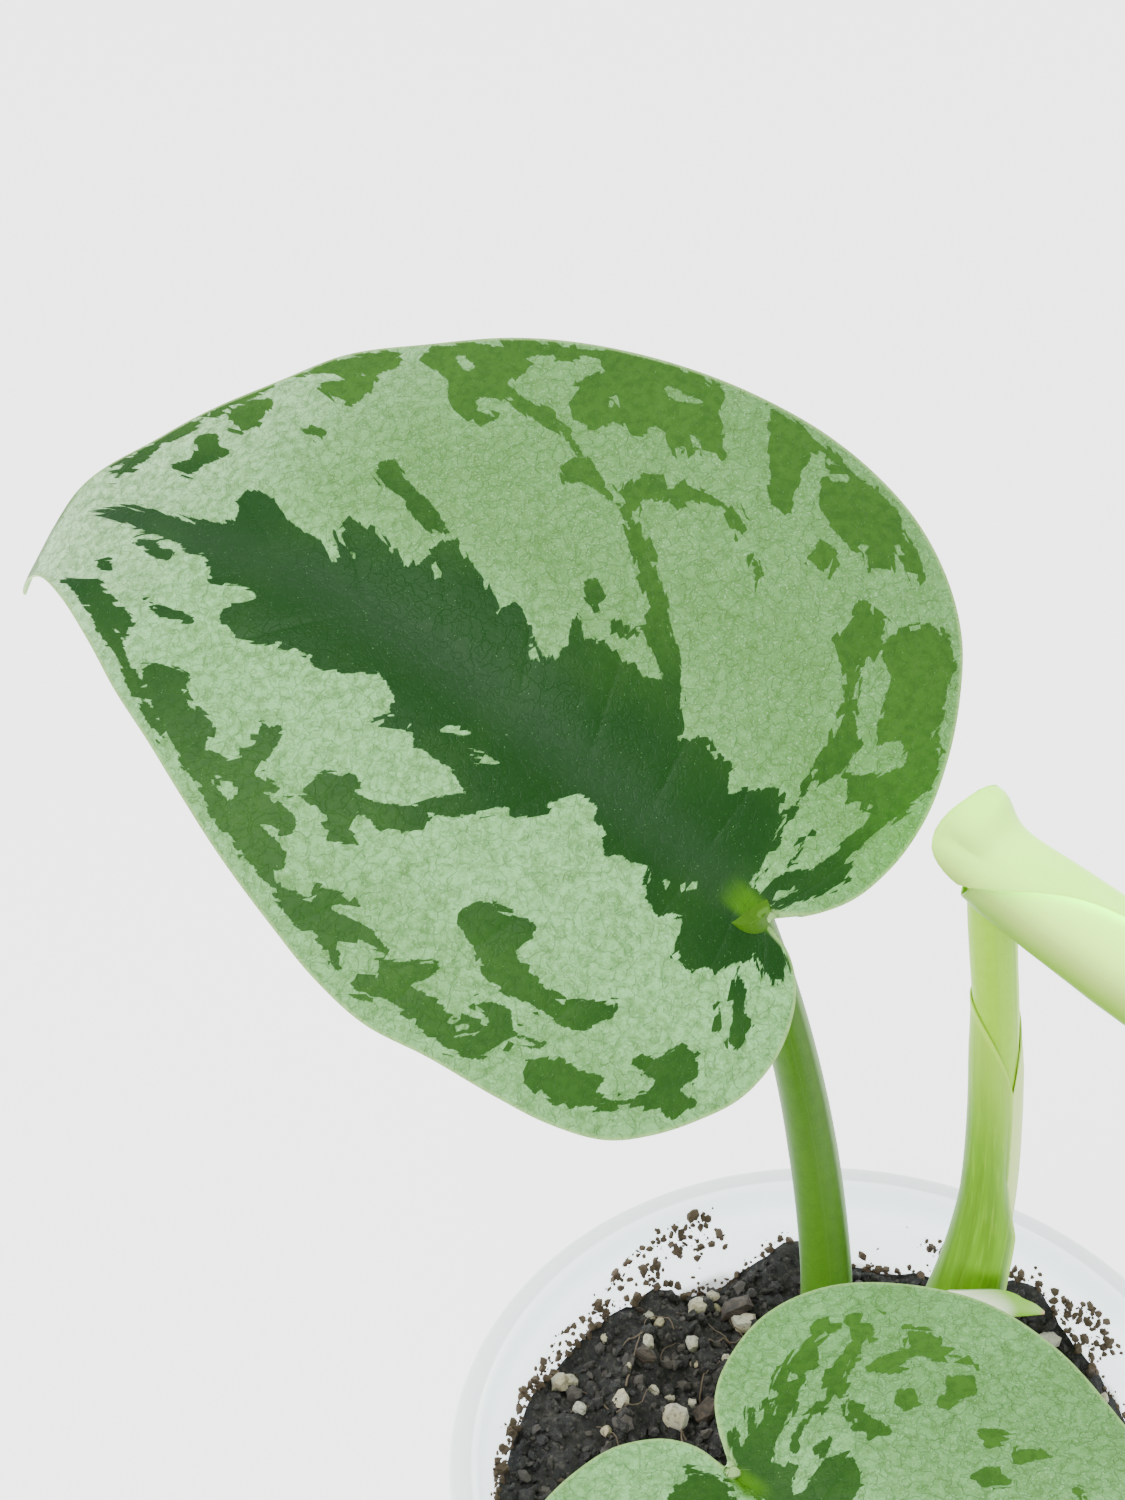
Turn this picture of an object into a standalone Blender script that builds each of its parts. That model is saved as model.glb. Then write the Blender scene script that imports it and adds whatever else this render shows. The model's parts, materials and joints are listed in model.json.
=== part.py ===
"""A young satin pothos in a translucent nursery pot.

The origin is the centre of the pot's underside, and +Z is up. Seen from -Y the large leaf is on the left, the
small leaf comes forwards to the right, and the rolled new leaf points to the right. Lengths are in metres: a
length written in millimetres is multiplied by MM, and the lists of places are in millimetres.
"""

import math
import random

import bmesh
import bpy
import numpy as np
from mathutils import Vector, noise

MM = 0.001
GAP = 0.3 * MM  # between two pieces that touch
FACE_SLACK = 0.15 * MM  # what flat faces take off a round gap

# Pot: a thin tapered cup with a rolled rim and drain holes
POT_HEIGHT = 78 * MM
POT_RIM_RADIUS = 45 * MM
POT_RIM_WIDTH = 2.4 * MM
POT_RIM_DEPTH = 4.5 * MM
POT_RIM_ROUND = 1.1 * MM
POT_RIM_EASE = 0.33 * MM  # how far the corners of the rim are cut back
POT_FOOT_RADIUS = 32 * MM
POT_FOOT_ROUND = 1.2 * MM
POT_WALL = 1.1 * MM
POT_FLOOR = 1.4 * MM
POT_SIDES = 60
DRAIN_HOLES = 8
DRAIN_RADIUS = 3 * MM
DRAIN_CIRCLE = 22 * MM
DRAIN_SIDES = 16

# Potting mix. It banks up against the pot's wall on the left and at the back.
SOIL_LEVEL = 64.5 * MM
SOIL_SHOULDER = 3 * MM  # from the end of the pot-shaped part up to the level
SOIL_LUMP = 2.4 * MM
SOIL_LUMP_SIZE = 11 * MM
SOIL_CRUMB_SHARE = 0.45  # height of the small lumps, as a share of the large ones
SOIL_CRUMB_SIZE = 4.4 * MM
SOIL_BANK = 4.5 * MM
SOIL_BANK_TURN = 140  # degrees from +X to the middle of the bank
SOIL_BANK_BASE = 0.4  # the share of the bank that goes all round
SOIL_RINGS = 9
SOIL_SIDES = 48
SOIL_SEED = 11
GRAINS = 34  # perlite and bark that stick out of the mix
GRAIN_SIZES = (1.2 * MM, 2.1 * MM)
GRAIN_MARGIN = 4 * MM
GRAIN_LIFT = 0.2  # how far a grain's middle is above the mix, as a share of its size
GRAIN_STRETCH = (0.75, 1.15)
GRAIN_ROUGHNESS = (0.86, 1.12)

# Vine: the short stem that carries every leaf
STEM_PATH = [(4, 11, 34), (4, 11, 50), (5, 11, 64), (8, 11, 77), (12, 11, 88)]
STEM_RADIUS = 3.9 * MM
STEM_TAPER = 0.9 * MM
STEM_TAPER_START = 0.8
STEM_NODES = (0.42, 0.62, 0.82)  # places of the leaf scars, as shares of its length
STEM_NODE_SWELL = 0.5 * MM
STEM_NODE_WIDTH = 0.03
STEM_SIDES = 12
STEM_STEPS = 22

# Leaf stalks, from the stem to their blades: places on the path, then radii along it
STALK_SIDES = 12
STALK_STEPS = 20
STALK_CHANNEL = 0.25  # how much shallower the front of a stalk is than a round one
LARGE_STALK_PATH = [(3.4, 11.6, 69), (0.6, 11.6, 75), (-1.4, 12, 86), (-2.4, 12, 98), (-4.6, 12, 115),
                    (-7.4, 12, 130), (-10.4, 12, 142), (-12.7, 12, 149.6), (-13.3, 11.9, 151.6)]
LARGE_STALK_RADII = [3.3, 3.1, 2.95, 2.8, 2.7, 2.5, 2.35, 2.25]
SMALL_STALK_PATH = [(5.9, 7.7, 68.2), (3.7, 0.9, 73.6), (-1.5, -9, 85), (-7.5, -19, 97), (-12, -26, 107),
                    (-14, -28.8, 111.6)]
SMALL_STALK_RADII = [3.0, 2.6, 2.35, 2.2, 2.1, 2.0]
NEW_STALK_PATH = [(12.7, 11, 89), (14, 11, 98), (14.8, 11, 108), (14.5, 11.2, 122), (13.3, 11.5, 136),
                  (12.1, 11.8, 146), (11.4, 12, 152), (11.1, 12, 156)]
NEW_STALK_RADII = [2.3, 2.2, 2.15, 2.15, 2.2, 2.4, 2.5, 2.5]

# Sheath round the new leaf's stalk: a sheet wrapped round it, with an oblique mouth at its front right
SHEATH_THICKNESS = 0.6 * MM
SHEATH_SPAN = (0.03, 0.76)  # from its foot to the top of its mouth, as shares of the stalk's length
SHEATH_MOUTH = 0.25  # how far the mouth dips at the front, in the same shares
SHEATH_RADII = [4.1, 3.5, 3.05, 2.9, 2.8, 2.8]
SHEATH_OPENING = -40  # degrees from +X to the way that the mouth faces
SHEATH_WRAP = (384, 300)  # degrees round the stalk, at its foot and at its mouth
SHEATH_OVERLAP = 0.95 * MM  # how far one margin stands off the other where they overlap
SHEATH_OVERLAP_ACROSS = (0.6, 0.9)  # where it grows from nothing to all of it, across the sheet
SHEATH_OVERLAP_UP = (0.46, 0.85)  # where it fades, as shares of the height
SHEATH_ROWS = 14
SHEATH_COLUMNS = 22

# Bract: the short old sheath at the stem's top, with a pointed end to the right
BRACT_THICKNESS = 0.7 * MM
BRACT_PATH = [(9.5, 8.5, 90), (12.5, 6, 94.4), (16, 4.9, 97), (19, 5.4, 96.6), (21.8, 6.8, 95.2)]
BRACT_HALF_WIDTHS = [4.8, 5.5, 4.8, 2.6, 0.0]
BRACT_UNDERSIDE = (0.3, -0.8, -0.5)
BRACT_BEND = 75  # degrees from its keel to each margin
BRACT_ROWS = 10
BRACT_COLUMNS = 5

# Blades. An edge is a line of places from the notch to the tip, with x along the midrib and y to its right.
BLADE_THICKNESS = 0.9 * MM
BLADE_ROWS = 30
BLADE_COLUMNS = 7  # on each side of the midrib
MIDRIB_SWING = 4.2  # how late the midrib swings to the side that its tip lies on
ROW_FAN = 1.45  # how closely the rows start at the notch
COLUMN_FAN = 0.9
ARCH_POWER = 1.3  # how late along a blade its arch comes
HOOK_START = 0.88  # where the hook at its tip starts, as a share of the bent length
HOOK_POWER = 1.5
HOOK_REACH = 9 * MM  # how far to the sides of the tip the hook reaches
GROOVE_WIDTH = 5 * MM
CUTTER_REACH = 8 * MM  # size of the block that trims a stalk's top
CUTTER_SIDES = 32
FINE_STEPS = 1600  # along a path that is read by its shares

LARGE_RIGHT_EDGE = [(-0.8, 0.6), (-2.4, 1.4), (-4.4, 2.9), (-7.2, 7.2), (-8.2, 12.6), (-7.7, 18.8),
                    (-5.5, 25.5), (-2.1, 32), (1.8, 37.3), (7.6, 41.9), (14, 44.8), (20.6, 46.1), (28, 46.3),
                    (36, 45.2), (44.5, 43), (53, 39.8), (62, 34.9), (70.5, 28.7), (78, 22.7), (82.2, 17),
                    (86.8, 11.2), (91, 4.9), (94.6, -1), (95.9, -7), (96.4, -12), (98.4, -16)]
LARGE_LEFT_EDGE = [(-3, -0.2), (-6.3, -0.9), (-9, -3.2), (-10.7, -6), (-12.1, -11), (-11.9, -15.3),
                   (-10.1, -19.8), (-7.8, -23.7), (-4.9, -27), (0.9, -29.9), (6.4, -31.3), (14.3, -32.8),
                   (21.7, -34.5), (28.5, -34.3), (36.4, -32.9), (45.6, -30.8), (53.7, -28.4), (61, -26.1),
                   (68.6, -23.9), (76.5, -21.1), (84, -18.9), (92, -17.8)]
LARGE_TIP = (101, -19)
LARGE_POSE = {
    "place": (-13.2, 12, 151.6),
    "along": (-0.751, 0.496, 0.437),
    "face": (0.082, -0.587, 0.806),
    "bend_length": 92 * MM,
    "arch": 40,
    "hook": 20,
    "tip_side": -19 * MM,
    "right_curl": 3.0,
    "left_curl": 6.0,
    "groove": 0.8 * MM,
}
SMALL_RIGHT_EDGE = [(-1.6, -0.2), (-4.3, -0.1), (-6.5, 0), (-9.6, 1.3), (-12.1, 4.6), (-13.4, 10.3),
                    (-13.2, 16), (-10.5, 22.5), (-4, 28.5), (6, 33), (18, 34.3), (32, 32), (48, 25.5),
                    (62, 17), (74, 7.5)]
SMALL_LEFT_EDGE = [(-1.7, -0.7), (-5.1, -2.3), (-8.8, -5), (-11.6, -10.8), (-12.3, -15.1), (-10.1, -23.2),
                   (-5.2, -28.6), (2.2, -32.6), (11.4, -33.2), (23.2, -30.6), (37, -26), (52, -19.5),
                   (66, -12.5), (76, -6.5)]
SMALL_TIP = (83, -1)
SMALL_POSE = {
    "place": (-14.2, -29, 112),
    "along": (0.66, -0.74, 0.10),
    "face": (-0.196, -0.042, 0.98),
    "bend_length": 80 * MM,
    "arch": 34,
    "hook": 20,
    "tip_side": -1 * MM,
    "right_curl": 4.0,
    "left_curl": 6.0,
    "groove": 1.2 * MM,
}

# New leaf, rolled up round its left edge. Its right edge lies outermost, and its back end flares a little.
ROLLED_RIGHT_EDGE = [(-0.6, 1), (-1.4, 3.5), (-2.3, 7.5), (-3.6, 11.7), (-5.5, 14.8), (-6.7, 17.8), (-6, 21),
                     (-2.6, 24.3), (1, 25.8), (5, 24.3), (10, 22), (20, 21), (34, 20.5), (48, 18), (61, 13),
                     (72, 6.5)]
ROLLED_LEFT_EDGE = [(-0.6, -1), (-0.4, -4), (-0.4, -8), (-0.8, -13), (-1.6, -19), (1, -26), (8, -30),
                    (20, -31), (34, -28.5), (48, -22.5), (61, -14.5), (72, -7)]
ROLLED_INNER_EDGE = ROLLED_LEFT_EDGE[4:]
ROLLED_TIP = (83, 0)
ROLLED_THICKNESS = 0.6 * MM
ROLL_PITCH = 1.05 * MM  # from one turn to the next
ROLL_PLACE = (10.7, 12, 157.3)
ROLL_ALONG = (0.83, -0.45, -0.395)
ROLL_MIDRIB_SIDE = (-0.462, -0.385, -0.797)
ROLL_ARCH = 8
ROLL_CORE = [(-7, 2.8), (0, 3.0), (16, 3.7), (40, 3.4), (62, 2.0), (84, 0.8)]  # (x, innermost radius)
ROLL_FLARE = 2.6 * MM
ROLL_FLARE_TURN = 170  # degrees round from the midrib
ROLL_FLARE_END = -3.5 * MM
ROLL_FLARE_LENGTH = 2.8 * MM
ROLL_ROWS = 22
ROLL_COLUMNS = 18
STALK_SEAT_RADIUS = 4.9 * MM  # the hollow in the new stalk's top that the rolled leaf lies in
STALK_SEAT_LENGTH = 20 * MM


def clear_scene():
    for old in list(bpy.data.objects):
        bpy.data.objects.remove(old, do_unlink=True)


def make_material(name, colour, roughness):
    made = bpy.data.materials.new(name)
    made.use_nodes = True
    shader = made.node_tree.nodes["Principled BSDF"]
    shader.inputs["Base Color"].default_value = (*colour, 1.0)
    shader.inputs["Roughness"].default_value = roughness
    shader.inputs["Metallic"].default_value = 0.0
    return made


def add_solid(name, points, faces, material):
    """One closed object from points and faces, with its faces turned outwards."""
    mesh = bpy.data.meshes.new(name)
    mesh.from_pydata([tuple(p) for p in points], [], [tuple(f) for f in faces])
    shell = bmesh.new()
    shell.from_mesh(mesh)
    bmesh.ops.recalc_face_normals(shell, faces=shell.faces)
    shell.to_mesh(mesh)
    shell.free()
    mesh.shade_smooth()
    mesh.set_sharp_from_angle(angle=math.radians(40))
    mesh.materials.append(material)
    solid = bpy.data.objects.new(name, mesh)
    bpy.context.scene.collection.objects.link(solid)
    return solid


def combine(solid, others, operation):
    """Fuses other objects to the solid, or takes them out of it, and removes them."""
    group = bpy.data.collections.new("others")
    for other in others:
        group.objects.link(other)
    modifier = solid.modifiers.new("combine", "BOOLEAN")
    modifier.operation = operation
    modifier.operand_type = "COLLECTION"
    modifier.solver = "EXACT"
    modifier.collection = group
    bpy.context.view_layer.update()
    graph = bpy.context.evaluated_depsgraph_get()
    mesh = bpy.data.meshes.new_from_object(solid.evaluated_get(graph))
    solid.modifiers.clear()
    solid.data = mesh
    for other in others:
        bpy.data.objects.remove(other, do_unlink=True)
    bpy.data.collections.remove(group)


def cut(solid, *cutters):
    for cutter in cutters:
        combine(solid, [cutter], "DIFFERENCE")


def turned(name, profile, sides, material):
    """A solid turned about Z from a closed profile of (radius, height). Radius 0 is a point on the axis."""
    points, rings = [], []
    for radius, height in profile:
        if radius == 0:
            rings.append([len(points)] * sides)
            points.append((0, 0, height))
            continue
        rings.append(list(range(len(points), len(points) + sides)))
        for turn in np.linspace(0, 2 * math.pi, sides, endpoint=False):
            points.append((radius * math.cos(turn), radius * math.sin(turn), height))
    faces = []
    for lower, upper in zip(rings, rings[1:] + rings[:1]):
        for i in range(sides):
            j = (i + 1) % sides
            corners = dict.fromkeys((lower[i], lower[j], upper[j], upper[i]))
            if len(corners) > 2:
                faces.append(tuple(corners))
    return add_solid(name, points, faces, material)


def smooth_curve(points, count):
    """Points at even steps along a smooth curve through the given ones."""
    given = np.asarray(points, float)
    steps = np.linalg.norm(np.diff(given, axis=0), axis=1)
    at = np.concatenate([[0], np.cumsum(steps)])
    slopes = np.gradient(given, at, axis=0)
    fine = np.linspace(0, at[-1], 40 * len(given))
    k = np.clip(np.searchsorted(at, fine, side="right") - 1, 0, len(steps) - 1)
    h = steps[k][:, None]
    s = ((fine - at[k]) / steps[k])[:, None]
    curve = (
        (1 + 2 * s) * (1 - s) ** 2 * given[k]
        + s * (1 - s) ** 2 * h * slopes[k]
        + s**2 * (3 - 2 * s) * given[k + 1]
        + s**2 * (s - 1) * h * slopes[k + 1]
    )
    along = np.concatenate([[0], np.cumsum(np.linalg.norm(np.diff(curve, axis=0), axis=1))])
    even = np.linspace(0, along[-1], count)
    return np.stack([np.interp(even, along, curve[:, axis]) for axis in range(given.shape[1])], axis=1)


def unit(vector):
    return np.asarray(vector, float) / np.linalg.norm(vector)


def rows_of_units(vectors):
    return vectors / np.linalg.norm(vectors, axis=-1, keepdims=True)


def tube(name, path, radii, sides, material, channel=0.0):
    """A closed round stalk along a path. channel makes the side that faces -Y shallower."""
    tangents = rows_of_units(np.gradient(path, axis=0))
    front = rows_of_units(np.cross(tangents, (1.0, 0.0, 0.0)))
    side = np.cross(front, tangents)
    points = []
    for centre, radius, ahead, across in zip(path, radii, front, side):
        for turn in np.linspace(0, 2 * math.pi, sides, endpoint=False):
            depth = math.cos(turn) * (1 - channel * max(0.0, math.cos(turn)))
            points.append(centre + radius * (ahead * depth + across * math.sin(turn)))
    faces = []
    for ring in range(len(path) - 1):
        for i in range(sides):
            j = (i + 1) % sides
            first, second = ring * sides, (ring + 1) * sides
            faces.append((first + i, first + j, second + j, second + i))
    faces.append(tuple(range(sides)))
    faces.append(tuple(reversed(range(len(points) - sides, len(points)))))
    return add_solid(name, points, faces, material)


def spread(values, count):
    """Values in millimetres spread evenly over a count of places, in metres."""
    return np.interp(np.linspace(0, 1, count), np.linspace(0, 1, len(values)), values) * MM


def stalk(name, places, radii, material):
    path = smooth_curve(np.array(places) * MM, STALK_STEPS)
    return tube(name, path, spread(radii, STALK_STEPS), STALK_SIDES, material, STALK_CHANNEL)


def sheet_normals(surface):
    """A unit normal at each point of a grid. A row that is one point takes the mean of its neighbour's."""
    normals = np.cross(np.gradient(surface, axis=0), np.gradient(surface, axis=1))
    normals /= np.maximum(np.linalg.norm(normals, axis=2, keepdims=True), 1e-15)
    for row, beside in ((0, 1), (-1, -2)):
        if is_point(surface[row]):
            normals[row] = unit(normals[beside].mean(axis=0))
    return normals


def is_point(row):
    return np.ptp(row, axis=0).max() < 1e-9


def thick_sheet(name, surface, low, high, material):
    """A closed sheet from low to high over a surface. Both of its faces are split into the same triangles."""
    normals = sheet_normals(surface)
    rows, columns = surface.shape[:2]
    points, index = [], {}
    for side, offset in enumerate((high, low)):
        for r in range(rows):
            for c in range(columns):
                if c > 0 and is_point(surface[r]):
                    index[side, r, c] = index[side, r, 0]
                    continue
                index[side, r, c] = len(points)
                points.append(surface[r, c] + normals[r, c] * offset)
    triangles = []
    for r in range(rows - 1):
        for c in range(columns - 1):
            for corners in (((r, c), (r + 1, c), (r + 1, c + 1)), ((r, c), (r + 1, c + 1), (r, c + 1))):
                triangles.append([index[0, i, j] for i, j in corners])
                triangles.append([index[1, i, j] for i, j in reversed(corners)])
    rim = [(0, c) for c in range(columns)]
    rim += [(r, columns - 1) for r in range(1, rows)]
    rim += [(rows - 1, c) for c in range(columns - 2, -1, -1)]
    rim += [(r, 0) for r in range(rows - 2, -1, -1)]
    for (r, c), (i, j) in zip(rim, rim[1:]):
        triangles.append([index[0, r, c], index[0, i, j], index[1, i, j]])
        triangles.append([index[0, r, c], index[1, i, j], index[1, r, c]])
    return add_solid(name, points, [t for t in triangles if len(set(t)) == 3], material)


def flat_blade(right_edge, left_edge, tip, rows, columns):
    """The blade laid flat, as (rows + 1, 2 * columns + 1) places (x, y) in metres, from left edge to right.

    Each row is a line from the midrib out to both edges. The rows fan out at the notch and close at the tip.
    """
    right = smooth_curve(np.array([*right_edge, tip]) * MM, rows + 1)
    left = smooth_curve(np.array([*left_edge, tip]) * MM, rows + 1)
    notch = (right[0] + left[0]) / 2
    right[0] = left[0] = notch
    end = np.array(tip) * MM
    x = notch[0] + (end[0] - notch[0]) * np.linspace(0, 1, rows + 1) ** ROW_FAN
    middle = np.stack([x, end[1] * (np.clip(x, 0, None) / end[0]) ** MIDRIB_SWING], axis=1)
    grid = np.empty((rows + 1, 2 * columns + 1, 2))
    for column in range(-columns, columns + 1):
        edge = right if column > 0 else left
        out = (abs(column) / columns) ** COLUMN_FAN
        grid[:, column + columns] = middle + out * (edge - middle)
    return grid


def arched(x, length, arch, hook):
    """Run, drop and lean of the midrib at x. It arches by some degrees over a length, then hooks by more."""
    share = np.linspace(-0.3, 1.3, FINE_STEPS)
    lean = math.radians(arch) * np.clip(share, 0, None) ** ARCH_POWER
    lean += math.radians(hook) * (np.clip(share - HOOK_START, 0, None) / (1 - HOOK_START)) ** HOOK_POWER
    step = (share[1] - share[0]) * length
    run = np.cumsum(np.cos(lean)) * step
    drop = np.cumsum(-np.sin(lean)) * step
    at = x / length
    run0, drop0 = np.interp(0, share, run), np.interp(0, share, drop)
    return np.interp(at, share, run) - run0, np.interp(at, share, drop) - drop0, np.interp(at, share, lean)


def squared_to(vector, axis):
    """The part of a vector that is square to a unit axis, as a unit vector."""
    vector = np.asarray(vector, float)
    return unit(vector - axis * (vector @ axis))


def bent_blade(grid, pose):
    """Bends a flat blade and puts it in place. Returns its middle surface as a grid of points."""
    x, y = grid[..., 0], grid[..., 1]
    unhooked = arched(x, pose["bend_length"], pose["arch"], 0)
    hooked = arched(x, pose["bend_length"], pose["arch"], pose["hook"])
    near_tip = np.exp(-(((y - pose["tip_side"]) / HOOK_REACH) ** 2))
    run, drop, lean = (plain + (bent - plain) * near_tip for plain, bent in zip(unhooked, hooked))
    curve = np.where(y > 0, pose["right_curl"], pose["left_curl"])
    across = np.sin(curve * y) / curve
    groove = pose["groove"] * (1 - np.exp(-((y / GROOVE_WIDTH) ** 2)))
    height = groove - (1 - np.cos(curve * y)) / curve
    along = unit(pose["along"])
    up = squared_to(pose["face"], along)
    return (
        np.array(pose["place"]) * MM
        + (run + height * np.sin(lean))[..., None] * along
        + across[..., None] * np.cross(along, up)
        + (drop + height * np.cos(lean))[..., None] * up
    )


def inner_wall(height):
    """The radius of the pot's inner face at a height."""
    return outer_wall(height) - POT_WALL


def outer_wall(height):
    slope = (POT_RIM_RADIUS - POT_RIM_WIDTH - POT_FOOT_RADIUS) / POT_HEIGHT
    return POT_FOOT_RADIUS + slope * height


def build_pot(material):
    skirt = POT_HEIGHT - POT_RIM_DEPTH
    shoulder = POT_HEIGHT - POT_RIM_EASE
    profile = [
        (0, 0),
        (POT_FOOT_RADIUS - POT_FOOT_ROUND, 0),
        (outer_wall(POT_FOOT_ROUND), POT_FOOT_ROUND),
        (outer_wall(skirt), skirt),
        (POT_RIM_RADIUS - POT_RIM_EASE, skirt),
        (POT_RIM_RADIUS, POT_HEIGHT - POT_RIM_ROUND),
        (POT_RIM_RADIUS - POT_RIM_EASE, shoulder),
        (POT_RIM_RADIUS - POT_RIM_ROUND, POT_HEIGHT),
        (outer_wall(POT_HEIGHT) - POT_RIM_EASE, shoulder),
        (inner_wall(POT_HEIGHT), POT_HEIGHT - POT_RIM_ROUND),
        (inner_wall(POT_FLOOR), POT_FLOOR),
        (0, POT_FLOOR),
    ]
    pot = turned("pot", profile, POT_SIDES, material)
    drains = []
    for hole in range(DRAIN_HOLES):
        turn = 2 * math.pi * (hole + 0.5) / DRAIN_HOLES
        centre = np.array((DRAIN_CIRCLE * math.cos(turn), DRAIN_CIRCLE * math.sin(turn), 0))
        path = centre + np.array([(0, 0, -POT_FLOOR), (0, 0, 2 * POT_FLOOR)])
        drains.append(tube("drain", path, (DRAIN_RADIUS, DRAIN_RADIUS), DRAIN_SIDES, None))
    combine(pot, drains, "DIFFERENCE")


def soil_height(x, y, edge):
    """How far the potting mix stands above its level at a place."""
    spot = Vector((x, y, 0)) / SOIL_LUMP_SIZE
    crumbs = Vector((x, y, SOIL_LEVEL)) / SOIL_CRUMB_SIZE
    lumps = SOIL_LUMP * (noise.noise(spot) + SOIL_CRUMB_SHARE * noise.noise(crumbs))
    facing = math.cos(math.atan2(y, x) - math.radians(SOIL_BANK_TURN))
    share = max(0.0, SOIL_BANK_BASE + (1 - SOIL_BANK_BASE) * facing)
    return lumps + SOIL_BANK * share * (math.hypot(x, y) / edge) ** 3


def grain(place, size, seed):
    """A rough lump with few faces."""
    draw = random.Random(seed)
    stretch = [size * draw.uniform(*GRAIN_STRETCH) for _ in range(3)]
    shell = bmesh.new()
    bmesh.ops.create_icosphere(shell, subdivisions=1, radius=1)
    points = []
    for vertex in shell.verts:
        rough = draw.uniform(*GRAIN_ROUGHNESS)
        points.append([place[i] + vertex.co[i] * stretch[i] * rough for i in range(3)])
    faces = [[vertex.index for vertex in face.verts] for face in shell.faces]
    shell.free()
    return add_solid("grain", points, faces, None)


def build_soil(material):
    """Potting mix with a lumpy top and grains in it. The stem stands in a plain hole."""
    slack = GAP + FACE_SLACK
    foot = POT_FLOOR + GAP
    shoulder = SOIL_LEVEL - SOIL_SHOULDER
    edge = inner_wall(shoulder) - slack
    profile = [(0, foot), (inner_wall(foot) - slack, foot), (edge, shoulder)]
    profile += [(edge * ring / SOIL_RINGS, SOIL_LEVEL) for ring in range(SOIL_RINGS, 0, -1)]
    profile += [(0, SOIL_LEVEL)]
    soil = turned("soil", profile, SOIL_SIDES, material)
    for vertex in soil.data.vertices:
        if vertex.co.z > SOIL_LEVEL - SOIL_SHOULDER / 2:
            vertex.co.z += soil_height(vertex.co.x, vertex.co.y, edge)
    draw = random.Random(SOIL_SEED)
    grains = []
    for number in range(GRAINS):
        reach = (edge - GRAIN_MARGIN) * math.sqrt(draw.uniform(0.03, 1))
        turn = draw.uniform(0, 2 * math.pi)
        x, y = reach * math.cos(turn), reach * math.sin(turn)
        size = draw.uniform(*GRAIN_SIZES)
        height = SOIL_LEVEL + soil_height(x, y, edge) + GRAIN_LIFT * size
        grains.append(grain((x, y, height), size, number))
    combine(soil, grains, "UNION")
    cut(soil, stem_shape("stem_hole", GAP + FACE_SLACK, None))


def stem_shape(name, more, material):
    """The stem, or its shape grown by some length to cut what meets it."""
    path = smooth_curve(np.array(STEM_PATH) * MM, STEM_STEPS)
    share = np.linspace(0, 1, STEM_STEPS)
    radii = np.full(STEM_STEPS, STEM_RADIUS + more)
    for node in STEM_NODES:
        radii += STEM_NODE_SWELL * np.exp(-(((share - node) / STEM_NODE_WIDTH) ** 2))
    radii -= STEM_TAPER * np.clip((share - STEM_TAPER_START) / (1 - STEM_TAPER_START), 0, 1)
    path[0] += unit(path[0] - path[1]) * more
    path[-1] += unit(path[-1] - path[-2]) * more
    return tube(name, path, radii, STEM_SIDES, material)


def blade_surface(right_edge, left_edge, tip, pose):
    return bent_blade(flat_blade(right_edge, left_edge, tip, BLADE_ROWS, BLADE_COLUMNS), pose)


def build_blade(name, surface, material):
    return thick_sheet(name, surface, -BLADE_THICKNESS / 2, BLADE_THICKNESS / 2, material)


def blade_cutter(pose):
    """A round block above a gap under a blade, where its stalk meets it."""
    up = squared_to(pose["face"], unit(pose["along"]))
    foot = np.array(pose["place"]) * MM - up * (BLADE_THICKNESS / 2 + GAP)
    path = np.array([foot, foot + up * CUTTER_REACH])
    return tube("blade_cutter", path, (CUTTER_REACH, CUTTER_REACH), CUTTER_SIDES, None)


def roll_axes():
    """Directions along the roll, from its axis to the midrib, and square to both."""
    along = unit(ROLL_ALONG)
    side = squared_to(ROLL_MIDRIB_SIDE, along)
    return along, side, np.cross(along, side)


def roll_up(grid):
    """Rolls a flat blade round an axis, as a spiral from its left edge, with the midrib along one side."""
    x, y = grid[..., 0], grid[..., 1]
    inner_edge = np.array([*ROLLED_INNER_EDGE, ROLLED_TIP], float) * MM
    half_width = np.interp(x, inner_edge[:, 0], -inner_edge[:, 1])
    core = np.interp(x, *(np.array(ROLL_CORE).T * MM))
    reach = np.clip(y + half_width, 0, None)
    radius = np.sqrt(core**2 + reach * ROLL_PITCH / math.pi)
    midrib_radius = np.sqrt(core**2 + half_width * ROLL_PITCH / math.pi)
    turn = 2 * math.pi * (radius - midrib_radius) / ROLL_PITCH
    back = np.exp(-((np.clip(x - ROLL_FLARE_END, 0, None) / ROLL_FLARE_LENGTH) ** 2))
    top = np.clip(np.cos(turn - math.radians(ROLL_FLARE_TURN)), 0, None) * (y > 0)
    radius = radius + ROLL_FLARE * back * top
    along, side, over = roll_axes()
    run, drop, _ = arched(x, ROLLED_TIP[0] * MM, ROLL_ARCH, 0)
    return (
        np.array(ROLL_PLACE) * MM
        + run[..., None] * along
        + (radius * np.cos(turn) - drop)[..., None] * side
        + (radius * np.sin(turn))[..., None] * over
    )


def build_rolled_leaf(material):
    surface = roll_up(flat_blade(ROLLED_RIGHT_EDGE, ROLLED_LEFT_EDGE, ROLLED_TIP, ROLL_ROWS, ROLL_COLUMNS))
    thick_sheet("rolled_leaf", surface, -ROLLED_THICKNESS / 2, ROLLED_THICKNESS / 2, material)


def build_new_stalk(material):
    new_stalk = stalk("new_leaf_stalk", NEW_STALK_PATH, NEW_STALK_RADII, material)
    middle = np.array(ROLL_PLACE) * MM
    along = roll_axes()[0]
    seat = np.array([middle - along * STALK_SEAT_LENGTH / 2, middle + along * STALK_SEAT_LENGTH / 2])
    radii = (STALK_SEAT_RADIUS, STALK_SEAT_RADIUS)
    cut(new_stalk, tube("seat", seat, radii, CUTTER_SIDES, None), stem_shape("stem_cutter", GAP, None))


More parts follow.
